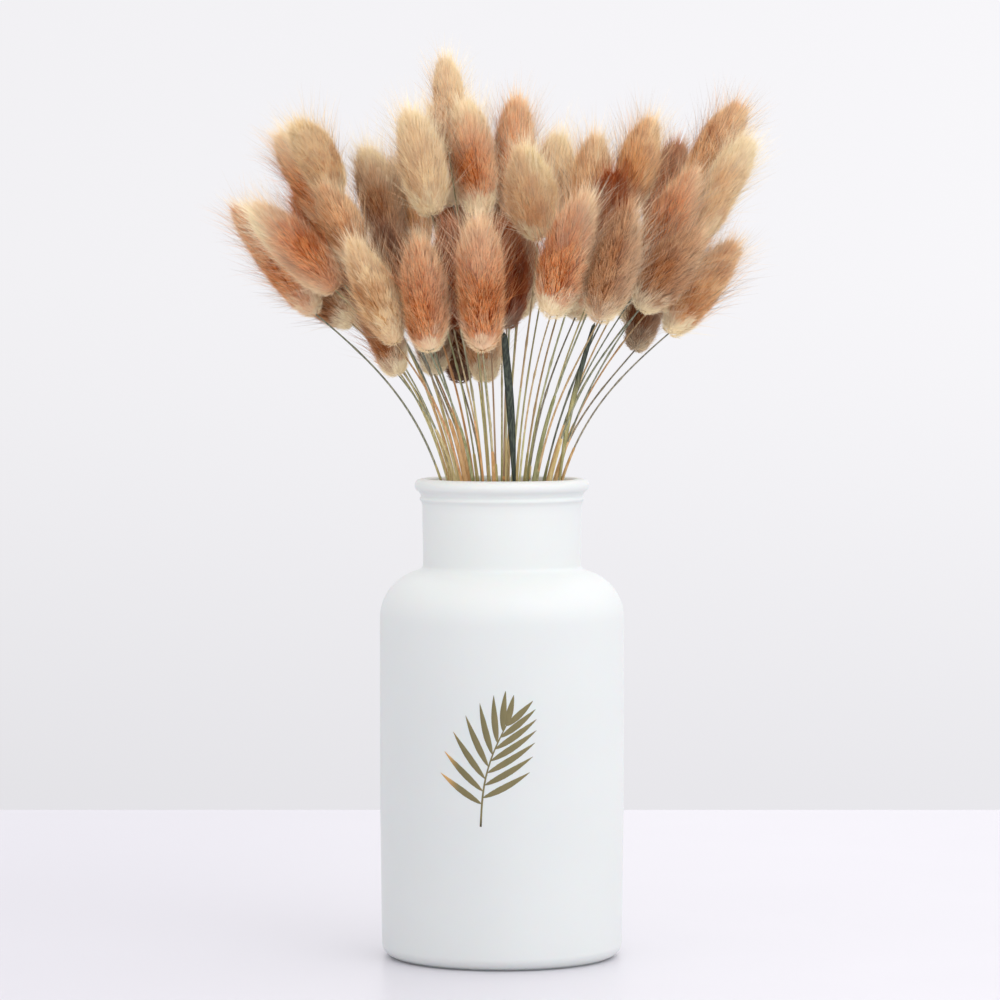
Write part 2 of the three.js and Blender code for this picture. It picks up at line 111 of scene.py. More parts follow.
def grid_faces(rows, columns, copies=1, wrap=True):
    """Quads of copies of a grid whose point (r, c) has the number r * columns + c. Each quad
    joins a point, its neighbour in the next column, and the two above them."""
    row = np.arange(rows - 1)[:, None]
    column = np.arange(columns if wrap else columns - 1)[None, :]
    after = (column + 1) % columns
    corners = [row * columns + column, row * columns + after]
    corners += [(row + 1) * columns + after, (row + 1) * columns + column]
    one = np.stack([c.ravel() for c in np.broadcast_arrays(*corners)], axis=1)
    start = np.arange(copies)[:, None, None] * rows * columns
    return (one[None] + start).reshape(-1, 4)


def fan_faces(ring, middle, flip):
    """Triangles from each pair of neighbours in a ring of point numbers to a middle point."""
    after = np.roll(ring, -1, axis=-1)
    centre = np.broadcast_to(middle, ring.shape)
    order = (after, ring, centre) if flip else (ring, after, centre)
    return np.stack(order, axis=-1).reshape(-1, 3)


def closed_faces(rows, columns, copies=1):
    """Faces of grids that are tubes. The points that close the start and the end of each tube
    come two by two after the points of all grids."""
    ring = np.arange(copies)[:, None] * rows * columns + np.arange(columns)
    start_point = copies * rows * columns + 2 * np.arange(copies)[:, None]
    last_ring = ring + (rows - 1) * columns
    fans = [fan_faces(ring, start_point, True), fan_faces(last_ring, start_point + 1, False)]
    return [grid_faces(rows, columns, copies), *fans]


def make_piece(name, points, faces, material, replaced=(), spots=None, marks=None, facing=None):
    """A mesh object at the origin. Faces is a list of arrays of quads or triangles, spots gives
    each point its place on the map, marks gives each point a named number, and facing gives
    each point the direction in which light sees it."""
    mesh = bpy.data.meshes.new(name)
    corners = np.concatenate([f.ravel() for f in faces]).astype(np.int32)
    counts = np.concatenate([np.full(len(f), f.shape[1]) for f in faces])
    starts = np.concatenate([[0], np.cumsum(counts)[:-1]]).astype(np.int32)
    mesh.vertices.add(len(points))
    mesh.vertices.foreach_set("co", np.asarray(points, np.float32).ravel())
    mesh.loops.add(len(corners))
    mesh.loops.foreach_set("vertex_index", corners)
    mesh.polygons.add(len(starts))
    mesh.polygons.foreach_set("loop_start", starts)
    if spots is not None:
        layer = mesh.uv_layers.new(name="OFBake")
        layer.uv.foreach_set("vector", np.asarray(spots, np.float32)[corners].ravel())
    for mark, values in (marks or {}).items():
        attribute = mesh.attributes.new(mark, "FLOAT", "POINT")
        attribute.data.foreach_set("value", np.asarray(values, np.float32).ravel())
    mesh.update(calc_edges=True)
    mesh.shade_smooth()
    if facing is not None:
        mesh.normals_split_custom_set_from_vertices(np.asarray(facing, np.float32).tolist())
    piece = bpy.data.objects.new(name, mesh)
    scene.collection.objects.link(piece)
    mesh.materials.append(material)
    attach(piece, "root")
    if replaced:
        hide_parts(*replaced)


# %% [markdown]
# ## Helpers for finishes
#
# A finish is a small tree of nodes around one Principled shader. These helpers keep each tree
# short: one adds a node and joins its inputs, and the others are the steps used most, such as a
# soft step between two levels and a mix of two colours.

# %% Nodes


def srgb(red, green, blue):
    """A colour as a screen shows it, 0 to 255, as the linear light that shaders work with."""
    shares = np.array([red, green, blue]) / 255
    linear = np.where(shares <= 0.04045, shares / 12.92, ((shares + 0.055) / 1.055) ** 2.4)
    return (*[float(share) for share in linear], 1.0)


def add_node(tree, kind, inputs=None, **settings):
    """Adds a node, sets its settings, and gives each input a value or joins it to a socket."""
    node = tree.nodes.new(kind)
    for key, value in settings.items():
        setattr(node, key, value)
    for key, value in (inputs or {}).items():
        if isinstance(value, bpy.types.NodeSocket):
            tree.links.new(value, node.inputs[key])
        else:
            node.inputs[key].default_value = value
    return node


def new_finish(name, **sockets):
    """A material and its node tree, with constant values set on the shader's own sockets."""
    material = bpy.data.materials.new(name)
    material.use_nodes = True
    tree = material.node_tree
    shader = tree.nodes["Principled BSDF"]
    for key, value in sockets.items():
        shader.inputs[key.replace("_", " ")].default_value = value
    return material, tree, shader


def soft_step(tree, value, low, high, start=0.0, end=1.0):
    """Rises smoothly from start to end as value goes from low to high."""
    inputs = {"Value": value, "From Min": low, "From Max": high, "To Min": start, "To Max": end}
    node = add_node(tree, "ShaderNodeMapRange", inputs, interpolation_type="SMOOTHSTEP")
    return node.outputs["Result"]


def mix_colours(tree, share, first, second, blend="MIX"):
    """First where share is 0, second where it is 1."""
    inputs = {0: share, 6: first, 7: second}
    node = add_node(tree, "ShaderNodeMix", inputs, data_type="RGBA", blend_type=blend)
    return node.outputs[2]


def noise(tree, place, scale, detail=3.0):
    """Cloudy values between 0 and 1 at the given place."""
    inputs = {"Vector": place, "Scale": scale, "Detail": detail}
    return add_node(tree, "ShaderNodeTexNoise", inputs).outputs["Fac"]


def object_place(tree):
    """Where a point lies on the object, in metres."""
    return add_node(tree, "ShaderNodeTexCoord").outputs["Object"]


def streaks(tree, squeeze, scale):
    """Noise that is squeezed along Z before it is read, which stretches it into streaks."""
    inputs = {"Vector": object_place(tree), "Scale": (1, 1, squeeze)}
    return noise(tree, add_node(tree, "ShaderNodeMapping", inputs).outputs["Vector"], scale, 2.0)


def mark(tree, name):
    """The number that each point carries under this name."""
    return add_node(tree, "ShaderNodeAttribute", attribute_name=name).outputs["Fac"]


# %% [markdown]
# ## Table and room
#
# The vase stands on a pale, satin table that ends about half a metre behind it. Towards the
# left its colour is painted a little greyer, as painted shade. The bright wall behind needs no
# mesh: the world gives it, and with it the even light of a white room that is brighter above
# and on the right.

# %% Table and room
TABLE_BACK = 0.524
TABLE_REACH = 1.6
table_corners = [
    [-TABLE_REACH, -TABLE_REACH, 0], [TABLE_REACH, -TABLE_REACH, 0],
    [TABLE_REACH, TABLE_BACK, 0], [-TABLE_REACH, TABLE_BACK, 0],
]
table_mesh = bpy.data.meshes.new("table")
table_mesh.from_pydata(table_corners, [], [[0, 1, 2, 3]])
table = bpy.data.objects.new("table", table_mesh)
scene.collection.objects.link(table)
table_finish, tree, shader = new_finish("table_white", Roughness=0.3)
grain = noise(tree, object_place(tree), 9.0)
across = add_node(tree, "ShaderNodeSeparateXYZ", {"Vector": object_place(tree)}).outputs["X"]
table_colour = mix_colours(tree, grain, srgb(218, 216, 221), srgb(222, 220, 225))
# Painted shade: the table's colour darkens towards the left.
painted_shade_left = soft_step(tree, across, 0.15, -0.25)
table_colour = mix_colours(tree, painted_shade_left, table_colour, srgb(210, 208, 214))
tree.links.new(table_colour, shader.inputs["Base Color"])
table_mesh.materials.append(table_finish)

world = bpy.data.worlds.new("white_room")
scene.world = world
world.use_nodes = True
tree = world.node_tree
direction = add_node(tree, "ShaderNodeTexCoord").outputs["Generated"]
parts = add_node(tree, "ShaderNodeSeparateXYZ", {"Vector": direction})
rise = soft_step(tree, parts.outputs["Z"], -0.16, 0.02)
room = mix_colours(tree, rise, srgb(230, 229, 233), srgb(247, 246, 249))
side = soft_step(tree, parts.outputs["X"], -0.9, 0.9, 0.84, 1.12)
above = soft_step(tree, parts.outputs["Z"], 0.1, 0.9, 1.0, 1.5)
strength = add_node(tree, "ShaderNodeMath", {0: side, 1: above}, operation="MULTIPLY")
background = tree.nodes["Background"]
tree.links.new(room, background.inputs["Color"])
tree.links.new(strength.outputs["Value"], background.inputs["Strength"])
print("table ends", TABLE_BACK, "m behind the vase")

# %% [markdown]
# ## Lamps
#
# A window at the right lights the real bunch, so a large round lamp there gives soft shadows.
# A small warm spot from the left front adds light to the heads: its cone fades out round the
# bunch, so the vase and the table stay neutral.

# %% Lamps


def add_lamp(name, kind, watts, place, aim, **settings):
    """A lamp at place that shines towards aim."""
    lamp_data = bpy.data.lights.new(name, kind)
    lamp_data.energy = watts
    for key, value in settings.items():
        setattr(lamp_data, key, value)
    point_at(bpy.data.objects.new(name, lamp_data), place, aim)


add_lamp(
    "window_light", "AREA", watts=6.4, place=(1.1, -1.2, 1.5), aim=(0, 0, 0.2),
    shape="DISK", size=1.5,
)
add_lamp(
    "fur_light", "SPOT", watts=72, place=(-0.55, -1.4, 0.62), aim=(0, 0, 0.342),
    color=(1.0, 0.96, 0.86), spot_size=math.radians(10.2), spot_blend=1.0, shadow_soft_size=0.15,
)

# %% [markdown]
# ## The vase
#
# The real vase is blown glass with a milky, satin skin: a rounded lip, a thin bead under it, a
# straight neck, a round shoulder and slightly tapered walls. Any turned shape is one profile
# carried round the axis, so the whole vase, inside and outside, is one closed lathe surface.
# Corners are short arcs, so smooth shading rounds them as the glass does. The outside was read
# off the photograph in millimetres, and the inside follows it at the thickness of the glass.

# %% Vase profile and lathe
VASE_HEIGHT = 199.0
BODY_RADIUS = 50.8
BASE_RADIUS = 50.0
SHOULDER_RADIUS = 20.0
SHOULDER_TOP = 161.0
NECK_RADIUS = 32.8
LIP_RADIUS = 36.3
LIP_HEIGHT = 5.6
BEAD_RADIUS = 34.2
MOUTH_RADIUS = 30.5
GLASS_WALL = 3.0
GLASS_FLOOR = 6.0
VASE_SIDES = 112


def arc(centre_r, centre_z, radius, start, end, steps):
    """Points of a circle from one angle to another, in degrees."""
    turn = np.radians(np.linspace(start, end, steps))
    return np.stack([centre_r + radius * np.cos(turn), centre_z + radius * np.sin(turn)], 1)


def run(start, end, steps):
    """Evenly spaced points of a straight line."""
    share = np.linspace(0, 1, steps)[:, None]
    return np.array(start) * (1 - share) + np.array(end) * share


def vase_profile():
    """Radius and height of each point, from the middle of the underside up the outside, over
    the lip and down the inside to the middle of the glass floor."""
    shoulder_r = BODY_RADIUS - SHOULDER_RADIUS
    shoulder_z = SHOULDER_TOP - SHOULDER_RADIUS
    lip_middle = VASE_HEIGHT - LIP_HEIGHT / 2
    bead_z = VASE_HEIGHT - LIP_HEIGHT - 2.8
    return np.concatenate(
        [
            # Hollow underside, foot and wall.
            run([0, 1.2], [40, 1.2], 8),
            arc(41.5, 1.5, 1.5, -160, -90, 4),
            run([43, 0], [45.6, 0], 3),
            arc(BASE_RADIUS - 5, 5.4, 5, -76, 0, 12),
            run([BASE_RADIUS + 0.1, 12], [BODY_RADIUS - 0.02, 66], 10),
            run([BODY_RADIUS, 72], [BODY_RADIUS, shoulder_z - 4], 10),
            # Shoulder, neck and bead.
            arc(shoulder_r, shoulder_z, SHOULDER_RADIUS, 0, 76, 22),
            arc(NECK_RADIUS + 2.2, SHOULDER_TOP + 2.3, 2.2, -112, -180, 7),
            run([NECK_RADIUS, SHOULDER_TOP + 4.5], [NECK_RADIUS + 0.35, bead_z - 2.6], 8),
            arc(BEAD_RADIUS - 1.1, bead_z, 1.1, -62, 62, 7),
            run([NECK_RADIUS + 0.9, bead_z + 1.5], [NECK_RADIUS + 1.1, bead_z + 1.9], 2),
            # Lip and mouth.
            arc(LIP_RADIUS - 2.7, lip_middle, 2.7, -70, 90, 14),
            run([LIP_RADIUS - 3.2, VASE_HEIGHT], [MOUTH_RADIUS + 1.6, VASE_HEIGHT - 0.05], 4),
            arc(MOUTH_RADIUS + 1.5, VASE_HEIGHT - 1.6, 1.5, 96, 180, 7),
            # Down the inside to the glass floor.
            run([MOUTH_RADIUS - 0.3, VASE_HEIGHT - 9], [NECK_RADIUS - GLASS_WALL, 163], 8),
            arc(shoulder_r - 1, shoulder_z, SHOULDER_RADIUS - 2, 80, 0, 14),
            run([BODY_RADIUS - GLASS_WALL, 132], [BODY_RADIUS - GLASS_WALL, 70], 6),
            arc(BASE_RADIUS - GLASS_WALL - 5, GLASS_FLOOR + 5, 5, 0, -88, 7),
            run([38, GLASS_FLOOR], [0, GLASS_FLOOR], 6),
        ]
    )


def lathe(profile, sides):
    """Turns a profile round Z: (r, z) becomes (r cos a, r sin a, z). Its two ends lie on the
    axis and become single points, which fans of triangles close."""
    turn = np.arange(sides) / sides * 2 * np.pi
    inner = profile[1:-1]
    around = np.stack([np.cos(turn), np.sin(turn), np.zeros(sides)], 1)
    points = inner[:, :1, None] * around[None]
    points[..., 2] = inner[:, 1:]
    ends = np.array([[0, 0, profile[0, 1]], [0, 0, profile[-1, 1]]])
    return np.concatenate([points.reshape(-1, 3), ends]), closed_faces(len(inner), sides)


points, faces = lathe(vase_profile(), VASE_SIDES)
print("vase:", len(points), "points")

# %% [markdown]
# The skin of the glass is almost white with a breath of green and blue. Milky glass scatters
# light inside, which softens its shadows. A little subsurface light does that, and the surface
# stays half matt, with faint clouds in its colour and gloss where the satin coat is uneven.

# %% Milky glass
glass_finish, tree, shader = new_finish(
    "milk_glass", IOR=1.48, Subsurface_Weight=0.12, Subsurface_Scale=0.004,
    Coat_Weight=0.12, Coat_Roughness=0.35,
)
place = object_place(tree)
clouds = noise(tree, place, 14.0, 4.0)
glass_colour = mix_colours(tree, clouds, srgb(221, 225, 223), srgb(228, 232, 230))
tree.links.new(glass_colour, shader.inputs["Base Color"])
tree.links.new(soft_step(tree, clouds, 0.3, 0.7, 0.42, 0.5), shader.inputs["Roughness"])
fine = noise(tree, place, 900.0, 2.0)
bump = add_node(tree, "ShaderNodeBump", {"Height": fine, "Strength": 0.03, "Distance": 0.0003})
tree.links.new(bump.outputs["Normal"], shader.inputs["Normal"])
make_piece("milk_glass_vase", points * MM, faces, glass_finish, ["vase"])
print("vase is", VASE_HEIGHT, "mm high")

# %% [markdown]
# ## The gold frond
#
# A gold palm frond is printed on the front. A print could be only colour, but foil lies on the
# glass and catches the light by itself, so it is a very thin raised mesh. It follows one rule:
# a bowed midrib, and leaflets that leave it by turns left and right, each a slim lens that
# bends a little upwards. Their length swells and shrinks along the rib as a sine wave.

# %% Frond shape
FROND_ROOT = np.array([-8.6, 59.5])
FROND_TOP = np.array([2.9, 103.0])
FROND_BOW = -3.2
LEAFLETS = 7
LEAFLET_LENGTH = 23.0
LEAFLET_WIDTH = 2.8
LEAFLET_BEND = 0.09
FIRST_LEAFLET = 0.2
LEAFLET_SPAN = 0.74
TOP_LEAFLET_LENGTH = 13.0
RIB_END = 0.96
FOIL_LIFT = 0.12
FOIL_SINK = 0.06
LEAST_HALF_WIDTH = 0.06
LEAF_ROWS = 14
LEAF_ACROSS = np.array([-1.0, -0.7, 0.0, 0.7, 1.0])
LEAF_LIFT = np.array([-FOIL_SINK, FOIL_LIFT * 0.8, FOIL_LIFT, FOIL_LIFT * 0.8, -FOIL_SINK])
TAPER_BOTTOM = 5.4
TAPER_HEIGHT = 64.6


def rib_point(share):
    """A point of the midrib: straight from root to top, bowed sideways by a sine arch."""
    line = FROND_TOP - FROND_ROOT
    aside = np.array([-line[1], line[0]]) / np.linalg.norm(line)
    share = np.asarray(share)[..., None]
    return FROND_ROOT + line * share - aside * FROND_BOW * np.sin(np.pi * share)


def slim_leaf(start, heading, length, width, bend):
    """A leaf on the flat (x, z): its middle line starts at start, runs along heading and bends
    by the square of the share. Half its width is a sine arch, fuller near the root."""
    share = np.linspace(0, 1, LEAF_ROWS)
    along = np.array([np.cos(heading), np.sin(heading)])
    aside = np.array([-along[1], along[0]])
    middle = start + along * (share * length)[:, None] + aside * (bend * share**2)[:, None]
    half = width / 2 * np.sin(np.pi * share**0.8) ** 0.9 + LEAST_HALF_WIDTH
    return middle[:, None] + aside * (half[:, None] * LEAF_ACROSS)[..., None]


def lay_on_vase(flat):
    """Moves (x, z) straight back on to the round wall, with the middle of each leaf lifted and
    its edges sunk: y is minus the root of the radius squared less x squared."""
    taper = np.clip((flat[..., 1] - TAPER_BOTTOM) / TAPER_HEIGHT, 0, 1)
    radius = BASE_RADIUS + (BODY_RADIUS - BASE_RADIUS) * taper + LEAF_LIFT
    depth = -np.sqrt(radius**2 - flat[..., 0] ** 2)
    return np.stack([flat[..., 0], depth, flat[..., 1]], -1)


leaves = []
for number in range(2 * LEAFLETS):
    side = 1 if number % 2 else -1
    share = FIRST_LEAFLET + LEAFLET_SPAN * number / (2 * LEAFLETS - 1)
    start = rib_point(share)
    ahead = rib_point(share + 0.01) - start
    lean = math.radians(74 - 52 * share)
    heading = math.atan2(ahead[1], ahead[0]) - side * lean
    length = LEAFLET_LENGTH * math.sin(math.pi * (0.22 + 0.62 * share)) ** 0.8
    leaves.append(slim_leaf(start, heading, length, LEAFLET_WIDTH, side * LEAFLET_BEND * length))
top = rib_point(FIRST_LEAFLET + LEAFLET_SPAN)
leaves.append(slim_leaf(top, math.radians(74), TOP_LEAFLET_LENGTH, LEAFLET_WIDTH, 0.4))
rib_share = np.linspace(0, RIB_END, LEAF_ROWS)
rib = rib_point(rib_share)
rib_aside = unit(np.stack([-np.gradient(rib[:, 1]), np.gradient(rib[:, 0])], 1))
rib_half = 0.5 - 0.25 * rib_share
leaves.append(rib[:, None] + rib_aside[:, None] * (rib_half[:, None] * LEAF_ACROSS)[..., None])
points = lay_on_vase(np.array(leaves)).reshape(-1, 3)
faces = [grid_faces(LEAF_ROWS, len(LEAF_ACROSS), len(leaves), wrap=False)[:, ::-1]]
print("frond:", len(leaves), "leaves, x", points[:, 0].min().round(1), points[:, 0].max().round(1))

# %% [markdown]
# Gold foil is a mirror with a warm tint, so its look is mostly what it reflects. Its colour is
# painted: a dull olive gold stands in for the reflection of the shade behind the eye, the left
# tips are a painted highlight in bright gold, and the foot of the rib is a painted dark
# reflection, almost black. So three golds are mixed by place.

# %% Gold foil
gold_finish, tree, shader = new_finish("gold_print", Metallic=1.0, Roughness=0.34)
place = object_place(tree)
parts = add_node(tree, "ShaderNodeSeparateXYZ", {"Vector": place})
worn = noise(tree, place, 260.0, 3.0)
# Painted reflection: the dull olive stands in for the shade the foil mirrors; the noise between
# two olives is wear.
olive = mix_colours(tree, worn, srgb(126, 121, 88), srgb(150, 138, 102))
# Painted highlight: bright gold on the left tips.
bright = soft_step(tree, parts.outputs["X"], -0.017, -0.0225)
gold_colour = mix_colours(tree, bright, olive, srgb(214, 172, 112))
# Painted dark reflection: the foot of the rib goes almost black.
low = soft_step(tree, parts.outputs["Z"], 0.064, 0.058)
gold_colour = mix_colours(tree, low, gold_colour, srgb(62, 54, 38))
tree.links.new(gold_colour, shader.inputs["Base Color"])
make_piece("gold_frond", points * MM, faces, gold_finish)
print("frond stands", FOIL_LIFT, "mm proud")

# %% [markdown]
# ## Where the flowers stand
#
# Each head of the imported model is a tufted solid. Its two end points lie on its middle line,
# so the points farthest apart along the line give the base and the tip, and the raised tufts
# round its middle give its half width. From the base follows the stem, by the same rule as in
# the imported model: a curve that leaves the mouth upwards and ends along the head.

# %% Lines of the heads and stems
FAN_DEPTH = 0.041
RIM_RADIUS = 0.0286
BEND_SHARE = 0.38
UPRIGHT_SHARE = 0.5
ARCH_SHARE = 0.7
HEAD_BOW = 0.0014
HEAD_SWELL = 0.09
HEAD_MIDDLE = (0.25, 0.7)
TUFT_REACH = 1.1
RIM_POWER = 6
MOUTH_HEIGHT = VASE_HEIGHT * MM


def node_points(name):
    """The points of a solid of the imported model."""
    mesh = frame["nodes"][name].data
    points = np.empty(len(mesh.vertices) * 3, np.float32)
    mesh.vertices.foreach_get("co", points)
    return points.reshape(-1, 3).astype(float)


def read_head(name):
    """Line, directions and half width of a head. Its axis comes first from the spread of its
    points, then from the line between the two points that reach farthest along it. Swell says
    how much fuller one half of it is than the other."""
    points = node_points(name)
    spread = np.linalg.svd(points - points.mean(0), full_matrices=False)[2][0]
    axis = spread if spread[2] > 0 else -spread
    for _ in range(3):
        reach = points @ axis
        base, tip = points[reach.argmin()], points[reach.argmax()]
        axis = unit(tip - base)
    share = (points - base) @ axis / np.linalg.norm(tip - base)
    off = np.linalg.norm(points - base - np.outer((points - base) @ axis, axis), axis=1)
    middle = (share > HEAD_MIDDLE[0]) & (share < HEAD_MIDDLE[1])
    half_width = np.percentile(off[middle], 80) / TUFT_REACH
    level = unit(np.array([-axis[1], axis[0], 0.0]))
    bow = unit(np.cross(level, axis))
    bow = bow if bow[2] >= 0 else -bow
    swell = HEAD_SWELL * math.sin(1000 * float(base[0]) + 700 * float(tip[0]))
    head = {"name": name, "base": base, "line": tip - base, "axis": axis, "bow": bow}
    return {**head, "side": np.cross(axis, bow), "half_width": float(half_width), "swell": swell}


def mouth_point(base):
    """Where a stem passes the mouth: on the line to the point where all stems would meet, and
    never farther out than the rim allows."""
    out = base[:2] * FAN_DEPTH / (base[2] - (MOUTH_HEIGHT - FAN_DEPTH))
    radius = max(float(np.linalg.norm(out)), 1e-6)
    out = out / (1 + (radius / RIM_RADIUS) ** RIM_POWER) ** (1 / RIM_POWER)
    return np.array([out[0], out[1], MOUTH_HEIGHT])


def bezier(controls, share):
    """A Bezier curve of any degree: its control points weighted by Bernstein polynomials."""
    degree = len(controls) - 1
    share = share[:, None]
    weights = [math.comb(degree, i) * share**i * (1 - share) ** (degree - i)
               for i in range(degree + 1)]
    return sum(weight * control for weight, control in zip(weights, controls))


def stem_controls(mouth, end, end_direction):
    """The four control points of a stem above the mouth. It leaves the mouth between its chord
    and upright, and ends between the head's line and the mirror image of that about the
    chord, so it arches outwards under the head."""
    chord = end - mouth
    reach = np.linalg.norm(chord) * BEND_SHARE
    straight = unit(chord)
    leaving = unit(straight * (1 - UPRIGHT_SHARE) + np.array([0.0, 0.0, 1.0]) * UPRIGHT_SHARE)
    mirrored = 2 * straight * (straight @ leaving) - leaving
    arriving = unit(end_direction * (1 - ARCH_SHARE) + mirrored * ARCH_SHARE)
    return [mouth, mouth + leaving * reach, end - arriving * reach, end]


heads = [read_head(name) for name in head_names]
for head in heads:
    head["mouth"] = mouth_point(head["base"])
    head["stem"] = stem_controls(head["mouth"], head["base"], head["axis"])
widths = np.array([head["half_width"] for head in heads]) / MM
print("heads are", (2 * widths.min()).round(1), "to", (2 * widths.max()).round(1), "mm wide")

# %% [markdown]
# ## Stems
#
# A dried stem is a straw thinner than a match, with a knot at some height. Its lower part is
# wrapped in a leaf sheath, and above that it is bare, darker and thinner. Stem and sheath are
# tubes, a circle carried along a curve, and each point has its stem's tint and its height. They
# stay together as eight bundles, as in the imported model.

# %% Tubes
STEM_SIDES = 8


def tubes(paths, radii, sides):
    """Closed tubes along many paths at once. Each ring is a circle in the plane square to the
    path, its first point towards +X, and a fan of triangles closes either end."""
    copies, rows = paths.shape[:2]
    along = unit(np.gradient(paths, axis=1))
    first = unit(np.array([1.0, 0, 0]) - along * along[..., :1])
    second = np.cross(along, first)
    turn = np.arange(sides) / sides * 2 * np.pi
    ring = first[:, :, None] * np.cos(turn)[:, None] + second[:, :, None] * np.sin(turn)[:, None]
    points = paths[:, :, None] + ring * radii[:, :, None, None]
    ends = np.stack([paths[:, 0], paths[:, -1]], 1)
    points = np.concatenate([points.reshape(-1, 3), ends.reshape(-1, 3)])
    return points, closed_faces(rows, sides, copies)


def tube_marks(copies, rows, **numbers):
    """Spreads numbers over the points of tubes(). Each is given once for all, once for each
    tube or once for each row."""
    marks = {}
    for key, value in numbers.items():
        values = np.broadcast_to(value, (copies, rows))
        rings = np.repeat(values[:, :, None], STEM_SIDES, axis=2)
        marks[key] = np.concatenate([rings.ravel(), values[:, [0, -1]].ravel()])
    return marks


def joined(parts):
    """Several (points, faces, marks) as one, with the point numbers moved along."""
    points, faces, marks, start = [], [], {}, 0
    for part_points, part_faces, part_marks in parts:
        points.append(part_points)
        faces += [f + start for f in part_faces]
        for key, value in part_marks.items():
            marks.setdefault(key, []).append(value)
        start += len(part_points)
    return np.concatenate(points), faces, {key: np.concatenate(v) for key, v in marks.items()}


# %% [markdown]
# Inside the vase the stems of a bundle draw together and stand on the glass floor, half as far
# apart as at the mouth. Above it they follow the curves that were read from the heads.

# %% Stems and sheaths
BUNDLES = 8
BUNDLE_TURN = 9.0
FOOT_CIRCLE = 0.024
FOOT_CROWDING = 0.5
FOOT_HEIGHT = 0.0081
ROOT_BEND = 0.014
ROOT_STEPS = 10
UPPER_STEPS = 26
SHEATH_STEPS = 14
INTO_FUR = 0.003
STEM_RADIUS = (0.38, 0.52)
STEM_TAPER = 0.42
KNOT_PLACE = (0.45, 0.8)
KNOT_LENGTH = 0.015
KNOT_SWELL = 0.5
SHEATH_TOP = (0.06, 0.55)
SHEATH_BELOW_MOUTH = 0.25
SHEATH_LIP = 0.78
rng = np.random.default_rng(20)


def bundle_of(mouth):
    """The number of the eighth of the bunch in which a stem passes the mouth."""
    turn = math.degrees(math.atan2(mouth[1], mouth[0]))
    return int(((turn - BUNDLE_TURN + 720) % 360) // (360 / BUNDLES))


def bundle_paths(members, bundle):
    """For each stem of a bundle, its path inside the vase and its path above the mouth."""
    angle = math.radians(BUNDLE_TURN + (bundle + 0.5) * 360 / BUNDLES)
    centre = np.array([math.cos(angle) * FOOT_CIRCLE, math.sin(angle) * FOOT_CIRCLE, FOOT_HEIGHT])
    middle = np.mean([head["mouth"] for head in members], axis=0)
    roots, uppers = [], []
    for head in members:
        mouth = head["mouth"]
        foot = centre + (mouth - middle) * FOOT_CROWDING
        bend = mouth - unit(head["stem"][1] - mouth) * ROOT_BEND
        roots.append(bezier([foot, bend, mouth], np.linspace(0, 1, ROOT_STEPS)))
        uppers.append(bezier(head["stem"], np.linspace(0, 1, UPPER_STEPS)))
    return np.array(roots), np.array(uppers)


def bare_stems(members, roots, uppers, thick):
    """Stems from the glass floor up into the fur. The radius falls evenly with the share of the
    length, and swells at the knot by a bell curve."""
    count = len(members)
    into_fur = uppers[:, -1:] + np.array([head["axis"] for head in members])[:, None] * INTO_FUR
    paths = np.concatenate([roots, uppers[:, 1:], into_fur], axis=1)
    share = np.linspace(0, 1, paths.shape[1])[None]
    tint = rng.uniform(0, 1, (count, 1))
    radii = thick * (1.12 - STEM_TAPER * share)
    knot = rng.uniform(*KNOT_PLACE, (count, 1))
    radii = radii * (1 + KNOT_SWELL * np.exp(-(((share - knot) / KNOT_LENGTH) ** 2)))
    marks = tube_marks(count, paths.shape[1], tint=tint, rise=share, sheath=0.0)
    return (*tubes(paths, radii, STEM_SIDES), marks)


def sheaths(members, thick):
    """A sheath round each stem, from inside the vase to a height of its own, where it narrows
    to a lip."""
    count = len(members)
    steps = np.linspace(0, 1, SHEATH_STEPS)
    top = rng.uniform(*SHEATH_TOP, count) ** 1.25
    steps = np.append(-SHEATH_BELOW_MOUTH, steps)
    paths = np.array([bezier(head["stem"], t * steps) for head, t in zip(members, top)])
    rise = np.linspace(0, 1, len(steps))[None]
    radii = thick * (1.15 + 1.1 * rng.uniform(0, 1, (count, 1)) ** 2)
    radii = radii * (1 - 0.25 * rise) * np.where(rise > 0.97, SHEATH_LIP, 1.0)
    tint = rng.uniform(0, 1, (count, 1))
    marks = tube_marks(count, len(steps), tint=tint, rise=rise, sheath=1.0)
    return (*tubes(paths, radii, STEM_SIDES), marks)


def stem_bundle(members, bundle):
    """The bare stems of a bundle and their sheaths as one."""
    roots, uppers = bundle_paths(members, bundle)
    thick = rng.uniform(*STEM_RADIUS, (len(members), 1)) * MM
    bare = bare_stems(members, roots, uppers, thick)
    return joined([bare, sheaths(members, thick)])


# %% [markdown]
# Dry stems differ a lot: olive and grey green ones stand beside straw and orange brown ones,
# and near the heads they turn dark and bluish. A ramp turns each stem's tint into its colour,
# and noise that is stretched along Z gives the fine streaks of the straw.

# %% Straw and sheath colours
BARE_COLOURS = [(160, 168, 122), (196, 182, 128), (108, 124, 122)]
BARE_COLOURS += [(222, 160, 104), (190, 194, 156), (84, 98, 96)]
WRAP_COLOURS = [(188, 188, 120), (228, 200, 138), (142, 152, 104)]
WRAP_COLOURS += [(238, 172, 110), (200, 204, 152), (232, 216, 162)]


def tint_ramp(tree, tint, colours):
    """Spreads the colours evenly over the tints from 0 to 1."""
    ramp = add_node(tree, "ShaderNodeValToRGB", {"Fac": tint})
    stops = ramp.color_ramp.elements
    for number, colour in enumerate(colours):
        share = number / (len(colours) - 1)
        stop = stops[number] if number < 2 else stops.new(share)
        stop.position = share
        stop.color = srgb(*colour)
    return ramp.outputs["Color"]


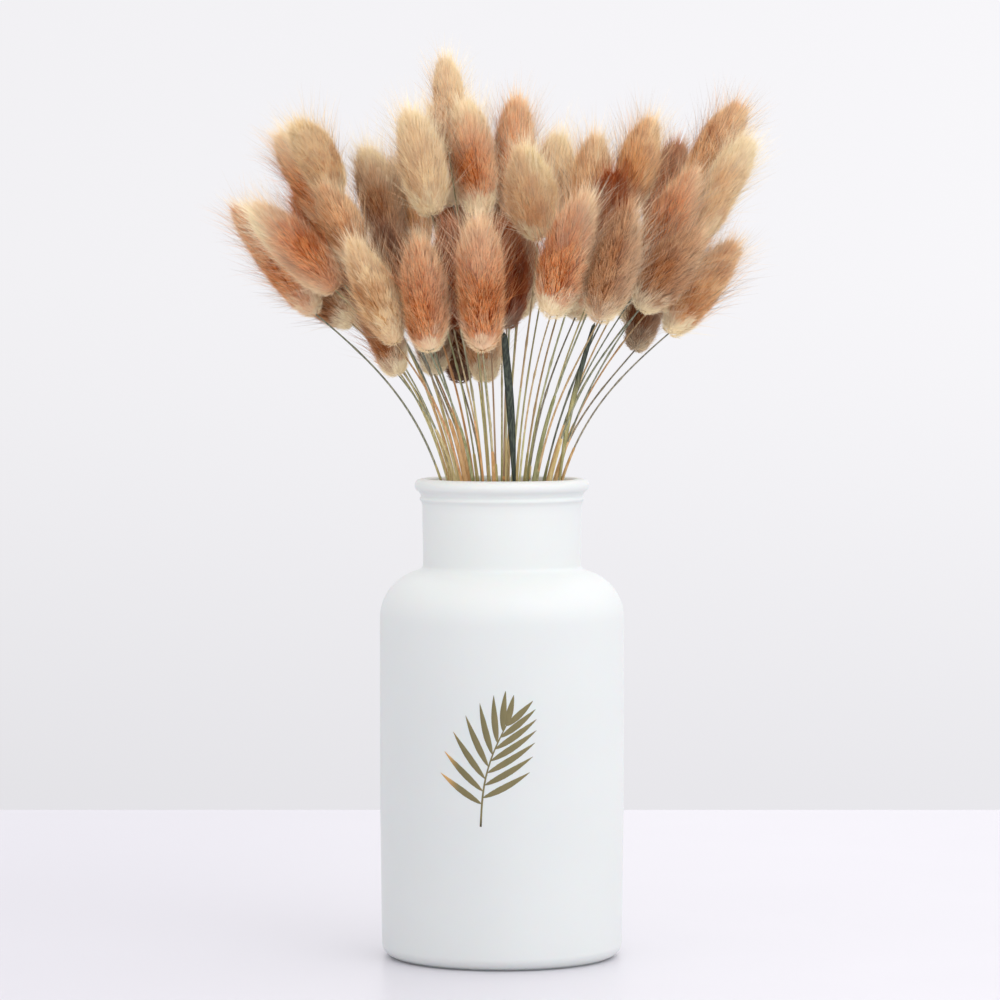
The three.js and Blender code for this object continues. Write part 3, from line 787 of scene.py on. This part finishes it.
stem_finish, tree, shader = new_finish("dry_stem", Roughness=0.55)
tint, rise, sheath = mark(tree, "tint"), mark(tree, "rise"), mark(tree, "sheath")
upper = soft_step(tree, rise, 0.45, 0.95)
bare_colour = tint_ramp(tree, tint, BARE_COLOURS)
bare_colour = mix_colours(tree, upper, bare_colour, srgb(196, 206, 204), "MULTIPLY")
stem_colour = mix_colours(tree, sheath, bare_colour, tint_ramp(tree, tint, WRAP_COLOURS))
fibres = soft_step(tree, streaks(tree, 0.03, 1500.0), 0.38, 0.64)
dark = mix_colours(tree, 1.0, stem_colour, srgb(224, 220, 210), "MULTIPLY")
light = mix_colours(tree, 0.25, stem_colour, srgb(222, 208, 170))
stem_colour = mix_colours(tree, fibres, dark, light)
tree.links.new(stem_colour, shader.inputs["Base Color"])

for bundle in range(BUNDLES):
    members = [head for head in heads if bundle_of(head["mouth"]) == bundle]
    points, faces, marks = stem_bundle(members, bundle)
    name = f"stem_bundle_{bundle + 1}"
    make_piece(f"stems_{bundle + 1}", points, faces, stem_finish, [name], marks=marks)
    print(name, "holds", len(members), "stems")

# %% [markdown]
# ## Dry blades
#
# Two narrow leaves stand among the stems, almost black green, and one has faded to straw lower
# down. A grass blade is a folded strip with a keel and two wings, so each is a closed section
# carried up its own curve, slim at the mouth, widest above its middle and cut off at the top.
# Its place is read on the plane of the vase's axis, then moved along the sight to its depth.

# %% Blades
BLADE_ROWS = 22
BLADE_START = -0.4
BLADE_FOLD = 0.6
BLADE_LEAST = 0.5
BLADE_POINT = 2.0
FADE_HEIGHT = 0.012
BLADE_ACROSS = np.array([-1.0, -0.5, 0.0, 0.5, 1.0, 0.5, 0.0, -0.5])
BLADE_BEHIND = np.array([0.0, 0.22, 0.5, 0.22, 0.0, 0.42, 0.72, 0.42]) * -1
BLADES = [
    {"top": (1, 258), "mouth": (5, -9), "depth": -22, "width": 3.4, "straw_below": 190},
    {"top": (38, 262), "mouth": (24, -4), "depth": -10, "width": 2.2, "straw_below": 243},
]


def blade_mesh(blade):
    """A blade's path is a stem curve. Across it lies a shallow V with a thin wall: its outer
    corners at half the width, its keel pushed back, and the same again a little behind. Half
    the width is a part of a sine wave."""
    spread = 1 + blade["depth"] * MM / EYE_DISTANCE
    top = np.array([blade["top"][0] * spread * MM, blade["depth"] * MM, 0])
    top[2] = EYE_HEIGHT + (blade["top"][1] * MM - EYE_HEIGHT) * spread
    mouth = np.array([blade["mouth"][0] * MM, blade["mouth"][1] * MM, MOUTH_HEIGHT])
    share = np.linspace(BLADE_START, 1, BLADE_ROWS)
    path = bezier(stem_controls(mouth, top, unit(top - mouth)), share)
    along = unit(np.gradient(path, axis=0))
    wide = unit(np.array([1.0, 0, 0]) - along * along[:, :1])
    back = np.cross(along, wide)
    rise = np.clip(share, 0, 1)
    half = blade["width"] / 2 * MM * np.sin(np.pi * (0.15 + 0.58 * rise))
    half = np.maximum(half, BLADE_LEAST * MM)
    section = wide[:, None] * (half[:, None] * BLADE_ACROSS)[..., None]
    section = section + back[:, None] * (BLADE_FOLD * MM * BLADE_BEHIND)[None, :, None]
    points = (path[:, None] + section).reshape(-1, 3)
    ends = np.stack([path[0], path[-1] + along[-1] * (BLADE_POINT * MM)])
    return np.concatenate([points, ends]), closed_faces(BLADE_ROWS, len(BLADE_ACROSS))


blade_finish, tree, shader = new_finish("dry_blade", Roughness=0.6)
veins = soft_step(tree, streaks(tree, 0.04, 1700.0), 0.35, 0.7)
blade_colour = mix_colours(tree, veins, srgb(36, 46, 40), srgb(82, 92, 78))
straw = mix_colours(tree, veins, srgb(150, 148, 96), srgb(190, 180, 128))
blade_colour = mix_colours(tree, mark(tree, "faded"), blade_colour, straw)
tree.links.new(blade_colour, shader.inputs["Base Color"])
for number, blade in enumerate(BLADES, 1):
    points, faces = blade_mesh(blade)
    faded = np.clip((blade["straw_below"] * MM - points[:, 2]) / FADE_HEIGHT, 0, 1)
    make_piece(f"dry_blade_{number}", points, faces, blade_finish, marks={"faded": faded})
print("blades:", len(BLADES))

# %% [markdown]
# ## Fur
#
# The look of a bunny tail comes from thousands of fine hairs on its spikelets. Hair curves
# would be dropped when the model is saved for other programs, so each hair is a thin ribbon of
# one or three triangles, worked out for a whole head at once. A slim core fills the inside, and
# round it lie five coats: long bent hairs for the body, fine short ones that make it soft, fuzz
# that stands out of them, a loose plume round the tip, and awns, long and as thin as thread.
#
# A coat begins at the share start of the head, and crowds towards the tip where gather is below
# 1. Depth goes from the core (0) to the outline (1), pull draws a hair to its tuft, own is how
# far it faces its own way, level shortens what points to or from the eye, along says where its
# rows lie from the root colour (0) to the end colour (1), paler adds cream, and dark is the
# share of dark hairs.

# %% The shape of a head
CORE_SHARE = 0.74
FULLNESS = 1.05
HEAD_END = 0.9
CORE_ROWS, CORE_COLUMNS = 20, 16
TUFTS = 130
GOLDEN_TURN = math.pi * (3 - math.sqrt(5))
USUAL_COAT = dict(
    rows=2, start=0.002, gather=1.0, lean=0.0, pull=0.0, twist=1.5, own=1.0, level=0.0,
    paler=0.0, dark=0.02,
)
COATS = {
    "long": dict(
        USUAL_COAT, count=1450, rows=3, depth=(-0.2, 0.2), lean=0.02, spread=0.1, length=6.4,
        width=0.26, pull=0.42, twist=0.8, own=0.8, along=(0.1, 0.45, 0.85),
    ),
    "fine": dict(
        USUAL_COAT, count=6600, depth=(0.0, 0.4), spread=0.1, length=4.2, width=0.2, pull=0.3,
        twist=0.8, own=0.8, along=(0.3, 0.95),
    ),
    "fuzz": dict(
        USUAL_COAT, count=4600, depth=(0.1, 0.6), lean=0.5, spread=0.25, length=3.9, width=0.12,
        along=(0.6, 1.0), paler=0.12,
    ),
    "plume": dict(
        USUAL_COAT, count=380, rows=3, start=0.55, gather=0.7, depth=(-1.6, 0.2), spread=0.16,
        length=12.0, width=0.13, along=(0.4, 0.8, 1.0), paler=0.1,
    ),
    "awns": dict(
        USUAL_COAT, count=680, start=0.06, gather=0.66, depth=(0.3, 0.9), lean=0.3, spread=0.28,
        length=22.0, width=0.11, level=0.7, along=(0.35, 0.8), paler=0.05, dark=0.45,
    ),
}


def head_outline(head, share):
    """Half the width of a head: 1 - v^3.2 to the power 0.5 below and 1 - v^2.5 to the power 0.62
    above, where v is the distance from the middle, made slimmer above by a square and fuller
    here and there by a slow wave."""
    inside = np.clip(share / HEAD_END, 1e-3, 1 - 1e-3)
    off = np.abs(2 * inside - 1)
    round_ends = np.where(inside < 0.5, (1 - off**3.2) ** 0.5, (1 - off**2.5) ** 0.62)
    over = np.clip((share - 0.4) / 0.6, 0, 1)
    swell = 1 + head["swell"] * np.cos(2 * np.pi * (share - 0.35))
    return head["half_width"] * FULLNESS * round_ends * (1 - 0.24 * over**2) * swell


def middle_of(head, share):
    """Points of a head's bowed middle line."""
    bow = HEAD_BOW * 4 * share * (1 - share)
    return head["base"] + share[:, None] * head["line"] + bow[:, None] * head["bow"]


def outward_of(head, turn):
    """Directions square to the head's line at the given turns."""
    return np.cos(turn)[:, None] * head["bow"] + np.sin(turn)[:, None] * head["side"]


def cream_of(look, share, out):
    """How much cream a place on the head has: the sum of what its look gives to the rounded
    foot, the tip, one flank and the whole head, from 0 to 1."""
    foot = look["foot"] * np.clip((0.22 - share) / 0.16, 0, 1)
    tip = look["tip"] * np.clip((share - 0.42) / 0.48, 0, 1)
    # Flank cream is partly the head's own colour and partly a painted highlight on the lit side.
    flank = 0.9 * np.clip(look["flank"] * out[:, 0], 0, 1)
    return np.clip(foot + tip + flank + look["pale"], 0, 1)


HAIRS = sum(coat["count"] for coat in COATS.values())
print("hairs on a head:", HAIRS)

# %% [markdown]
# A hair leans away from the head's line by an angle that falls with its share t: at the foot it
# points outwards and down, which rounds the foot, and from a sixth of the way up it nearly lies
# along the head. Each ribbon is twisted its own way, so light breaks up on them as on hairs. The
# two lower coats also face a little outwards and up, which keeps them from glittering.

# %% Paths of the hairs
LEAN = 0.24
FOOT_LEAN = 1.7
FOOT_SHARE = 0.075
LEAN_NOISE = 0.12
HEADING_NOISE = 0.08
USUAL_HALF_WIDTH = 0.0095
LENGTHS = (0.66, 1.2)
WIDTHS = (0.7, 1.3)
SAG = 0.14
CURL = 0.16
LIGHT_TILT = 0.25


def roots_along(head, coat, rng):
    """Shares of the head's line where hairs root, as many on every patch of its skin. The skin
    below share t is the running sum of r sqrt(L^2 + r'^2), where r' is the slope of r."""
    share = np.linspace(coat["start"], HEAD_END - 0.004, 400)
    radius = head_outline(head, share)
    skin = np.cumsum(radius * np.hypot(np.linalg.norm(head["line"]), np.gradient(radius, share)))
    skin = (skin - skin[0]) / (skin[-1] - skin[0])
    return np.interp(rng.uniform(0, 1, coat["count"]) ** coat["gather"], skin, share)


def place_hairs(head, tufts, coat, rng):
    """For each hair of a coat, the share of the head's line where it stands, the direction out
    of the head, its root and the number of the nearest tuft."""
    share = roots_along(head, coat, rng)
    out = outward_of(head, rng.uniform(0, 2 * np.pi, coat["count"]))
    depth = rng.uniform(*coat["depth"], coat["count"])
    radius = head_outline(head, share) * (CORE_SHARE + (1 - CORE_SHARE) * depth)
    root = middle_of(head, share) + out * radius[:, None]
    near = ((root[:, None] - tufts["root"][None]) ** 2).sum(-1).argmin(1)
    return share, out, root, near


def hair_paths(head, tufts, coat, hairs, rng):
    """The points of each hair and the direction in which it sets out. From there it curls to
    the head's line by the square of the step, and pull draws it to the end of its tuft."""
    share, out, root, near = hairs
    count = len(share)
    foot = np.exp(-((share / FOOT_SHARE) ** 1.3))
    top = np.clip((share - 0.55) / 0.4, 0, 1)
    lean = LEAN + coat["lean"] + FOOT_LEAN * foot - 0.04 * top
    lean = lean + rng.normal(0, 1, count) * (coat["spread"] + LEAN_NOISE * foot)
    size = (0.5 + 0.5 * np.clip(share / 0.17, 0, 1)) * (1 - 0.12 * top)
    size = size * head["half_width"] / USUAL_HALF_WIDTH
    length = coat["length"] * MM * size * rng.uniform(*LENGTHS, count)
    heading = np.cos(lean)[:, None] * head["axis"] + np.sin(lean)[:, None] * out
    heading = unit(heading + rng.normal(0, HEADING_NOISE, (count, 3)))
    length = length * (1 - coat["level"] * heading[:, 1] ** 2)
    steps = np.linspace(0, 1, coat["rows"])
    ahead = tufts["share"][near] + 0.8 * length / np.linalg.norm(head["line"])
    reach = tufts["reach"][near] * head_outline(head, np.clip(ahead, 0.1, 0.8))
    goal = middle_of(head, ahead) + tufts["out"][near] * reach[:, None]
    pull = (coat["pull"] * np.where(share > 0.1, 1.0, 0.3))[:, None]
    drawn = (pull * steps**1.5)[..., None]
    forth = (length[:, None] * steps * (1 - SAG * steps))[..., None]
    free = root[:, None] + heading[:, None] * forth
    free = free + head["axis"] * (length[:, None] * CURL * steps**2)[..., None]
    bound = root[:, None] + (goal - root)[:, None] * steps[:, None]
    return free * (1 - drawn) + bound * drawn, heading


def ribbons(paths, sides, widths):
    """Each hair is a strip along its path that ends in a point. Its two edges lie half of its
    width to either side."""
    count, rows = paths.shape[:2]
    offset = sides[:, None] * (widths[:, :-1] / 2)[..., None]
    body = np.stack([paths[:, :-1] - offset, paths[:, :-1] + offset], axis=2)
    points = np.concatenate([body.reshape(count, -1, 3), paths[:, -1:]], axis=1)
    start = (np.arange(count) * (2 * rows - 1))[:, None]
    faces = [start + [2 * r, 2 * r + 1, 2 * r + 3, 2 * r + 2] for r in range(rows - 2)]
    faces.append(start + [2 * rows - 4, 2 * rows - 3, 2 * rows - 2])
    return points.reshape(-1, 3), faces


def hair_ribbons(coat, hairs, paths, heading, rng):
    """Points, faces and facing directions of hairs that are twisted about their own heading."""
    count, rows = paths.shape[:2]
    out = hairs[1]
    twist = rng.uniform(-1, 1, count)[:, None] * coat["twist"]
    level = unit(np.cross(heading, out))
    sides = np.cos(twist) * level + np.sin(twist) * np.cross(heading, level)
    slim = np.append(np.linspace(1, 0.8, rows - 1), 0.0)
    widths = coat["width"] * MM * slim * rng.uniform(*WIDTHS, count)[:, None]
    skyward = (out + [0, 0, LIGHT_TILT]) * (1 - coat["own"])
    facing = unit(np.cross(sides, heading) * coat["own"] + skyward)
    return *ribbons(paths, sides, widths), np.repeat(facing, 2 * rows - 1, axis=0)


# %% [markdown]
# Each point of a hair carries three numbers for its finish: along, from root to end, tone, a
# shade that the hairs of a tuft mostly share, and cream. On the side opposite a pale flank the
# tone is lowered as painted shade. The map gives each hair a cell of its own, so its colours can
# be kept in a picture when the model is saved for other programs.

# %% Marks and map of the hairs
LEAST_TONE = 0.08
TUFT_TONE = 0.55
HAIR_TONE = 0.37
PAINTED_SHADE_SIDE = 0.4
PATCH_SHIFT = 0.07
CREAM_NOISE = 0.03
CORE_STRIP = 0.08
CELL_FILL = 0.8


def per_hair(values):
    """Spreads numbers given for each row of each hair over the ribbon's two edges and point."""
    body = np.repeat(values[:, :-1], 2, axis=1)
    return np.concatenate([body, values[:, -1:]], axis=1).ravel()


def hair_marks(look, tufts, coat, hairs, rng):
    """The numbers along, tone and cream of each point of the hairs."""
    share, out, _, near = hairs
    count = len(share)
    tone = LEAST_TONE + TUFT_TONE * tufts["tone"][near] + HAIR_TONE * rng.uniform(0, 1, count)
    # Painted shade: hairs on the side opposite a pale flank are made darker.
    tone = tone - PAINTED_SHADE_SIDE * np.clip(-look["flank"] * out[:, 0], 0, 1)
    tone = np.clip(tone, LEAST_TONE, 1)
    tone = np.where(rng.uniform(0, 1, count) < coat["dark"], 0.0, tone)
    shift = PATCH_SHIFT * (2 * tufts["tone"][(near * 7) % TUFTS] - 1)
    patchy = share + shift + rng.normal(0, CREAM_NOISE, count)
    cream = np.clip(cream_of(look, patchy, out) + coat["paler"] * look["frost"], 0, 1)
    numbers = {"along": coat["along"], "tone": tone[:, None], "cream": cream[:, None]}
    shape = (count, coat["rows"])
    return {key: per_hair(np.broadcast_to(value, shape)) for key, value in numbers.items()}


def hair_spots(first, count, rows):
    """Places on the map: hair i has a cell of its own on a square board, and fills most of
    it, width across and length up. The lowest strip of the map is left for the core."""
    board = math.ceil(math.sqrt(HAIRS))
    number = first + np.arange(count)
    corner = np.stack([number % board, number // board], 1) / board
    up = np.repeat(np.arange(rows - 1) / (rows - 1), 2)
    across = np.tile([0.0, 1.0], rows - 1)
    shape = np.stack([np.append(across, 0.5), np.append(up, 1.0)], 1)
    spots = corner[:, None] + CELL_FILL / board * shape[None]
    return spots.reshape(-1, 2) * [1, 1 - CORE_STRIP] + [0, CORE_STRIP]


# %% [markdown]
# A head is one mesh: the core, then its coats. Its tufts stand for the spikelets. They are
# spread by the golden turn, as seeds are on real plants, and each has a tone and a reach.

# %% A whole head


def fur_core(head, look):
    """The closed core: rings round the middle line, with a point at either end."""
    share = np.linspace(0.004, HEAD_END - 0.01, CORE_ROWS + 2)
    turn = np.arange(CORE_COLUMNS) / CORE_COLUMNS * 2 * np.pi
    inner = share[1:-1]
    out = outward_of(head, turn)
    radius = CORE_SHARE * head_outline(head, inner)
    points = middle_of(head, inner)[:, None] + out[None] * radius[:, None, None]
    ends = middle_of(head, share[[0, -1]])
    shares = np.append(np.repeat(inner, CORE_COLUMNS), share[[0, -1]])
    facing = np.concatenate([np.tile(out, (CORE_ROWS, 1)), [-head["axis"], head["axis"]]])
    cream = cream_of(look, shares, facing)
    # The core takes a colour near the root's: painted shade for the depths seen between the hairs.
    marks = {"along": 0.1 + 0.4 * cream, "tone": 0.4 + 0 * cream, "cream": 0.9 * cream}
    mirrored = np.abs(np.arange(CORE_COLUMNS) / CORE_COLUMNS * 2 - 1)
    mirrored = np.append(np.tile(mirrored, CORE_ROWS), [0.5, 0.5])
    spots = np.stack([mirrored * 0.98 + 0.01, shares / HEAD_END * 0.066 + 0.005], 1)
    points = np.concatenate([points.reshape(-1, 3), ends])
    return points, closed_faces(CORE_ROWS, CORE_COLUMNS), marks, facing, spots


def tufts_of(head, rng):
    """Share, direction, place, tone and reach of each tuft of a head."""
    share = (np.arange(TUFTS) + 0.5) / TUFTS * HEAD_END
    out = outward_of(head, np.arange(TUFTS) * GOLDEN_TURN + rng.uniform(-0.3, 0.3, TUFTS))
    root = middle_of(head, share) + out * (0.75 * head_outline(head, share)[:, None])
    tufts = {"share": share, "out": out, "root": root, "tone": rng.uniform(0, 1, TUFTS)}
    return {**tufts, "reach": rng.uniform(0.92, 1.3, TUFTS)}


def fur_piece(head, look, material, rng):
    """Makes one head out of its core and its coats."""
    tufts = tufts_of(head, rng)
    *core, core_facing, core_spots = fur_core(head, look)
    parts, facings, spots = [core], [core_facing], [core_spots]
    first = 0
    for coat in COATS.values():
        hairs = place_hairs(head, tufts, coat, rng)
        paths, heading = hair_paths(head, tufts, coat, hairs, rng)
        points, faces, facing = hair_ribbons(coat, hairs, paths, heading, rng)
        parts.append((points, faces, hair_marks(look, tufts, coat, hairs, rng)))
        facings.append(facing)
        spots.append(hair_spots(first, coat["count"], coat["rows"]))
        first += coat["count"]
    points, faces, marks = joined(parts)
    make_piece(
        head["name"].replace("head", "bunny_tail"), points, faces, material,
        [head["name"]], spots=np.concatenate(spots), marks=marks,
        facing=np.concatenate(facings),
    )


# %% [markdown]
# ## The colours of the fur
#
# The heads were dyed, so no two have the same colour. Each hair is deep and warm at its root,
# takes the head's own colour in the middle and ends pale and straw like. The deep root colour is
# partly the hair's own and partly painted shade for the depths between the hairs. The rounded
# foot of a head is cream, because only hair ends show there, and some heads have a pale tip or
# flank. A pale flank is partly the head's own colour and partly a painted highlight on the side
# the light comes from, and the side opposite it is painted darker as shade.
# Fine hairs pass light on between them, which a warm sheen gives. Each kind of fur is given as
# its root, middle and end colours and its sheen, and frost weakens the paler coats of dark ones.

# %% Fur finish
FUR_COLOURS = {
    "orange": ((136, 54, 20), (236, 144, 80), (255, 220, 166), 0.5),
    "apricot": ((248, 176, 110), (255, 210, 146), (255, 238, 202), 0.8),
    "tan": ((200, 128, 78), (248, 194, 138), (255, 233, 192), 0.6),
    "khaki": ((220, 170, 112), (254, 223, 168), (255, 243, 212), 0.8),
    "copper": ((104, 38, 14), (192, 94, 46), (240, 172, 110), 0.35),
    "rust": ((78, 24, 8), (148, 62, 28), (198, 116, 66), 0.2),
    "umber": ((50, 18, 6), (104, 48, 24), (148, 86, 50), 0.1),
    "brown": ((52, 24, 10), (122, 68, 38), (190, 132, 88), 0.25),
    "grey": ((104, 64, 38), (196, 140, 96), (246, 203, 156), 0.45),
}
FROST = {"copper": 0.6, "rust": 0.3, "umber": 0.1, "brown": 0.4}
CREAM = (255, 243, 213)
DARK_HAIR = (112, 66, 44)
RUSTY = (232, 192, 148)
DEEP_SHADE = (200, 152, 110)
SHEEN_TINT = srgb(255, 220, 160)
KIND_BY_SLOT = {"fur_orange": "orange", "fur_rust": "rust", "fur_tan": "tan"}
KIND_BY_SLOT.update(fur_cream="khaki", fur_brown="brown")


def fur_finish(name, deep, body, pale, sheen):
    """Root, middle and end colours along the hair, then rusty patches, a lighter or darker
    shade for each hair, the dark hairs, and cream by place. The root colour is partly painted
    shade for the depths of the fur, the shade of each hair is also painted shade on the side
    opposite a pale flank, and the flank cream is partly a painted highlight."""
    material, tree, shader = new_finish(
        name, Roughness=0.85, Specular_IOR_Level=0.0, Sheen_Weight=sheen, Sheen_Roughness=0.4,
        Sheen_Tint=SHEEN_TINT,
    )
    deep, body, pale = srgb(*deep), srgb(*body), srgb(*pale)
    along, tone, cream = mark(tree, "along"), mark(tree, "tone"), mark(tree, "cream")
    colour = mix_colours(tree, soft_step(tree, along, 0.0, 0.45), deep, body)
    colour = mix_colours(tree, soft_step(tree, along, 0.35, 1.0), colour, pale)
    patches = soft_step(tree, noise(tree, object_place(tree), 64.0, 1.0), 0.36, 0.7, 0.0, 0.75)
    rusty = mix_colours(tree, 1.0, colour, srgb(*RUSTY), "MULTIPLY")
    colour = mix_colours(tree, patches, colour, rusty)
    light = soft_step(tree, tone, 0.05, 0.65)
    shade = mix_colours(tree, light, srgb(*DEEP_SHADE), srgb(255, 255, 255))
    colour = mix_colours(tree, 1.0, colour, shade, "MULTIPLY")
    colour = mix_colours(tree, soft_step(tree, tone, 0.02, 0.06), srgb(*DARK_HAIR), colour)
    colour = mix_colours(tree, cream, colour, srgb(*CREAM))
    tree.links.new(colour, shader.inputs["Base Color"])
    return material


finishes = {name: fur_finish(f"fur_{name}", *colours) for name, colours in FUR_COLOURS.items()}
print("kinds of fur:", len(finishes))

# %% [markdown]
# Looks are read from the photograph: the kind of fur, and how pale the foot, the tip, the
# left (-) or right (+) flank and the whole head are, from 0 up. A head without a line keeps the
# plain look and takes the kind of its slot.

# %% Looks of the heads
LOOK_PARTS = ("foot", "tip", "flank", "pale")
# A flank of 0.3, which the plain look and most heads have, paints a pale right flank: a painted
# highlight from the light at the right.
PLAIN_LOOK = (1.05, 0.42, 0.3, 0.0)
LOOKS = {
    1: ("orange", 0.8, 0.35, 0.3, 0.0), 2: ("grey", 1.05, 0.42, 0.3, 0.0),
    3: ("orange", 0.3, 0.8, -0.8, 0.0), 4: ("copper", 0.1, 0.0, 0.0, 0.0),
    5: ("orange", 0.5, 0.8, 0.3, 0.0), 6: ("apricot", 1.2, 0.45, 0.0, 0.3),
    7: ("tan", 1.0, 0.2, 0.3, 0.0), 8: ("khaki", 0.6, 0.4, 0.3, 0.0),
    9: ("grey", 0.3, 0.9, 0.3, 0.0), 10: ("apricot", 1.05, 0.4, 0.3, 0.0),
    11: ("grey", 1.05, 0.42, 0.5, 0.0), 12: ("umber", 0.0, 0.1, 0.0, 0.0),
    13: ("orange", 0.9, 0.3, 0.3, 0.0), 14: ("khaki", 1.0, 0.42, 0.3, 0.3),
    15: ("tan", 1.05, 0.5, 0.3, 0.25), 16: ("tan", 1.2, 0.9, 0.3, 0.0),
    17: ("orange", 1.05, 0.9, 0.3, 0.0), 18: ("orange", 0.8, 0.6, 0.0, 0.0),
    19: ("rust", 0.0, 0.1, 0.0, 0.0), 20: ("brown", 1.1, 0.42, 0.3, 0.0),
    21: ("umber", 0.15, 0.0, 0.0, 0.0), 22: ("tan", 1.4, 0.42, 0.3, 0.0),
    23: ("orange", 0.4, 0.42, 0.3, 0.0), 24: ("apricot", 1.6, 0.42, 0.5, 0.25),
    25: ("brown", 0.3, 0.1, 0.0, 0.0), 26: ("rust", 0.3, 0.0, 0.0, 0.0),
    27: ("orange", 1.5, 0.6, 0.3, 0.0), 28: ("apricot", 1.1, 0.6, 0.3, 0.3),
    29: ("apricot", 0.6, 0.6, 0.3, 0.0), 30: ("rust", 0.2, 0.0, 0.0, 0.0),
    31: ("grey", 0.7, 0.1, 0.5, 0.0), 32: ("apricot", 0.6, 0.4, 0.3, 0.0),
    33: ("copper", 1.0, 0.3, 0.3, 0.0), 35: ("tan", 0.7, 0.3, 0.3, 0.0),
    36: ("khaki", 0.5, 0.6, 0.3, 0.25), 37: ("grey", 1.05, 0.2, 0.3, 0.0),
    38: ("apricot", 1.4, 0.42, 0.2, 0.0), 39: ("brown", 0.5, 0.42, 0.3, 0.0),
    40: ("orange", 1.1, 0.42, 0.3, 0.0),
}
print("heads with a look of their own:", len(LOOKS))

# %% [markdown]
# Each head is grown from a seed of its own, so a change to one leaves the others as they are.

# %% Make the heads
for number, head in enumerate(heads, 1):
    kind, *amounts = LOOKS.get(number, (KIND_BY_SLOT[slot_of[head["name"]]], *PLAIN_LOOK))
    look = {**dict(zip(LOOK_PARTS, amounts)), "frost": FROST.get(kind, 1.0)}
    fur_piece(head, look, finishes[kind], np.random.default_rng(100 + number))
shown = [o for o in scene.objects if o.type == "MESH" and not o.hide_render and o is not table]
triangles = {o.name: sum(len(p.vertices) - 2 for p in o.data.polygons) for o in shown}
print("triangles:", sum(triangles.values()), "most in a piece:", max(triangles.values()))
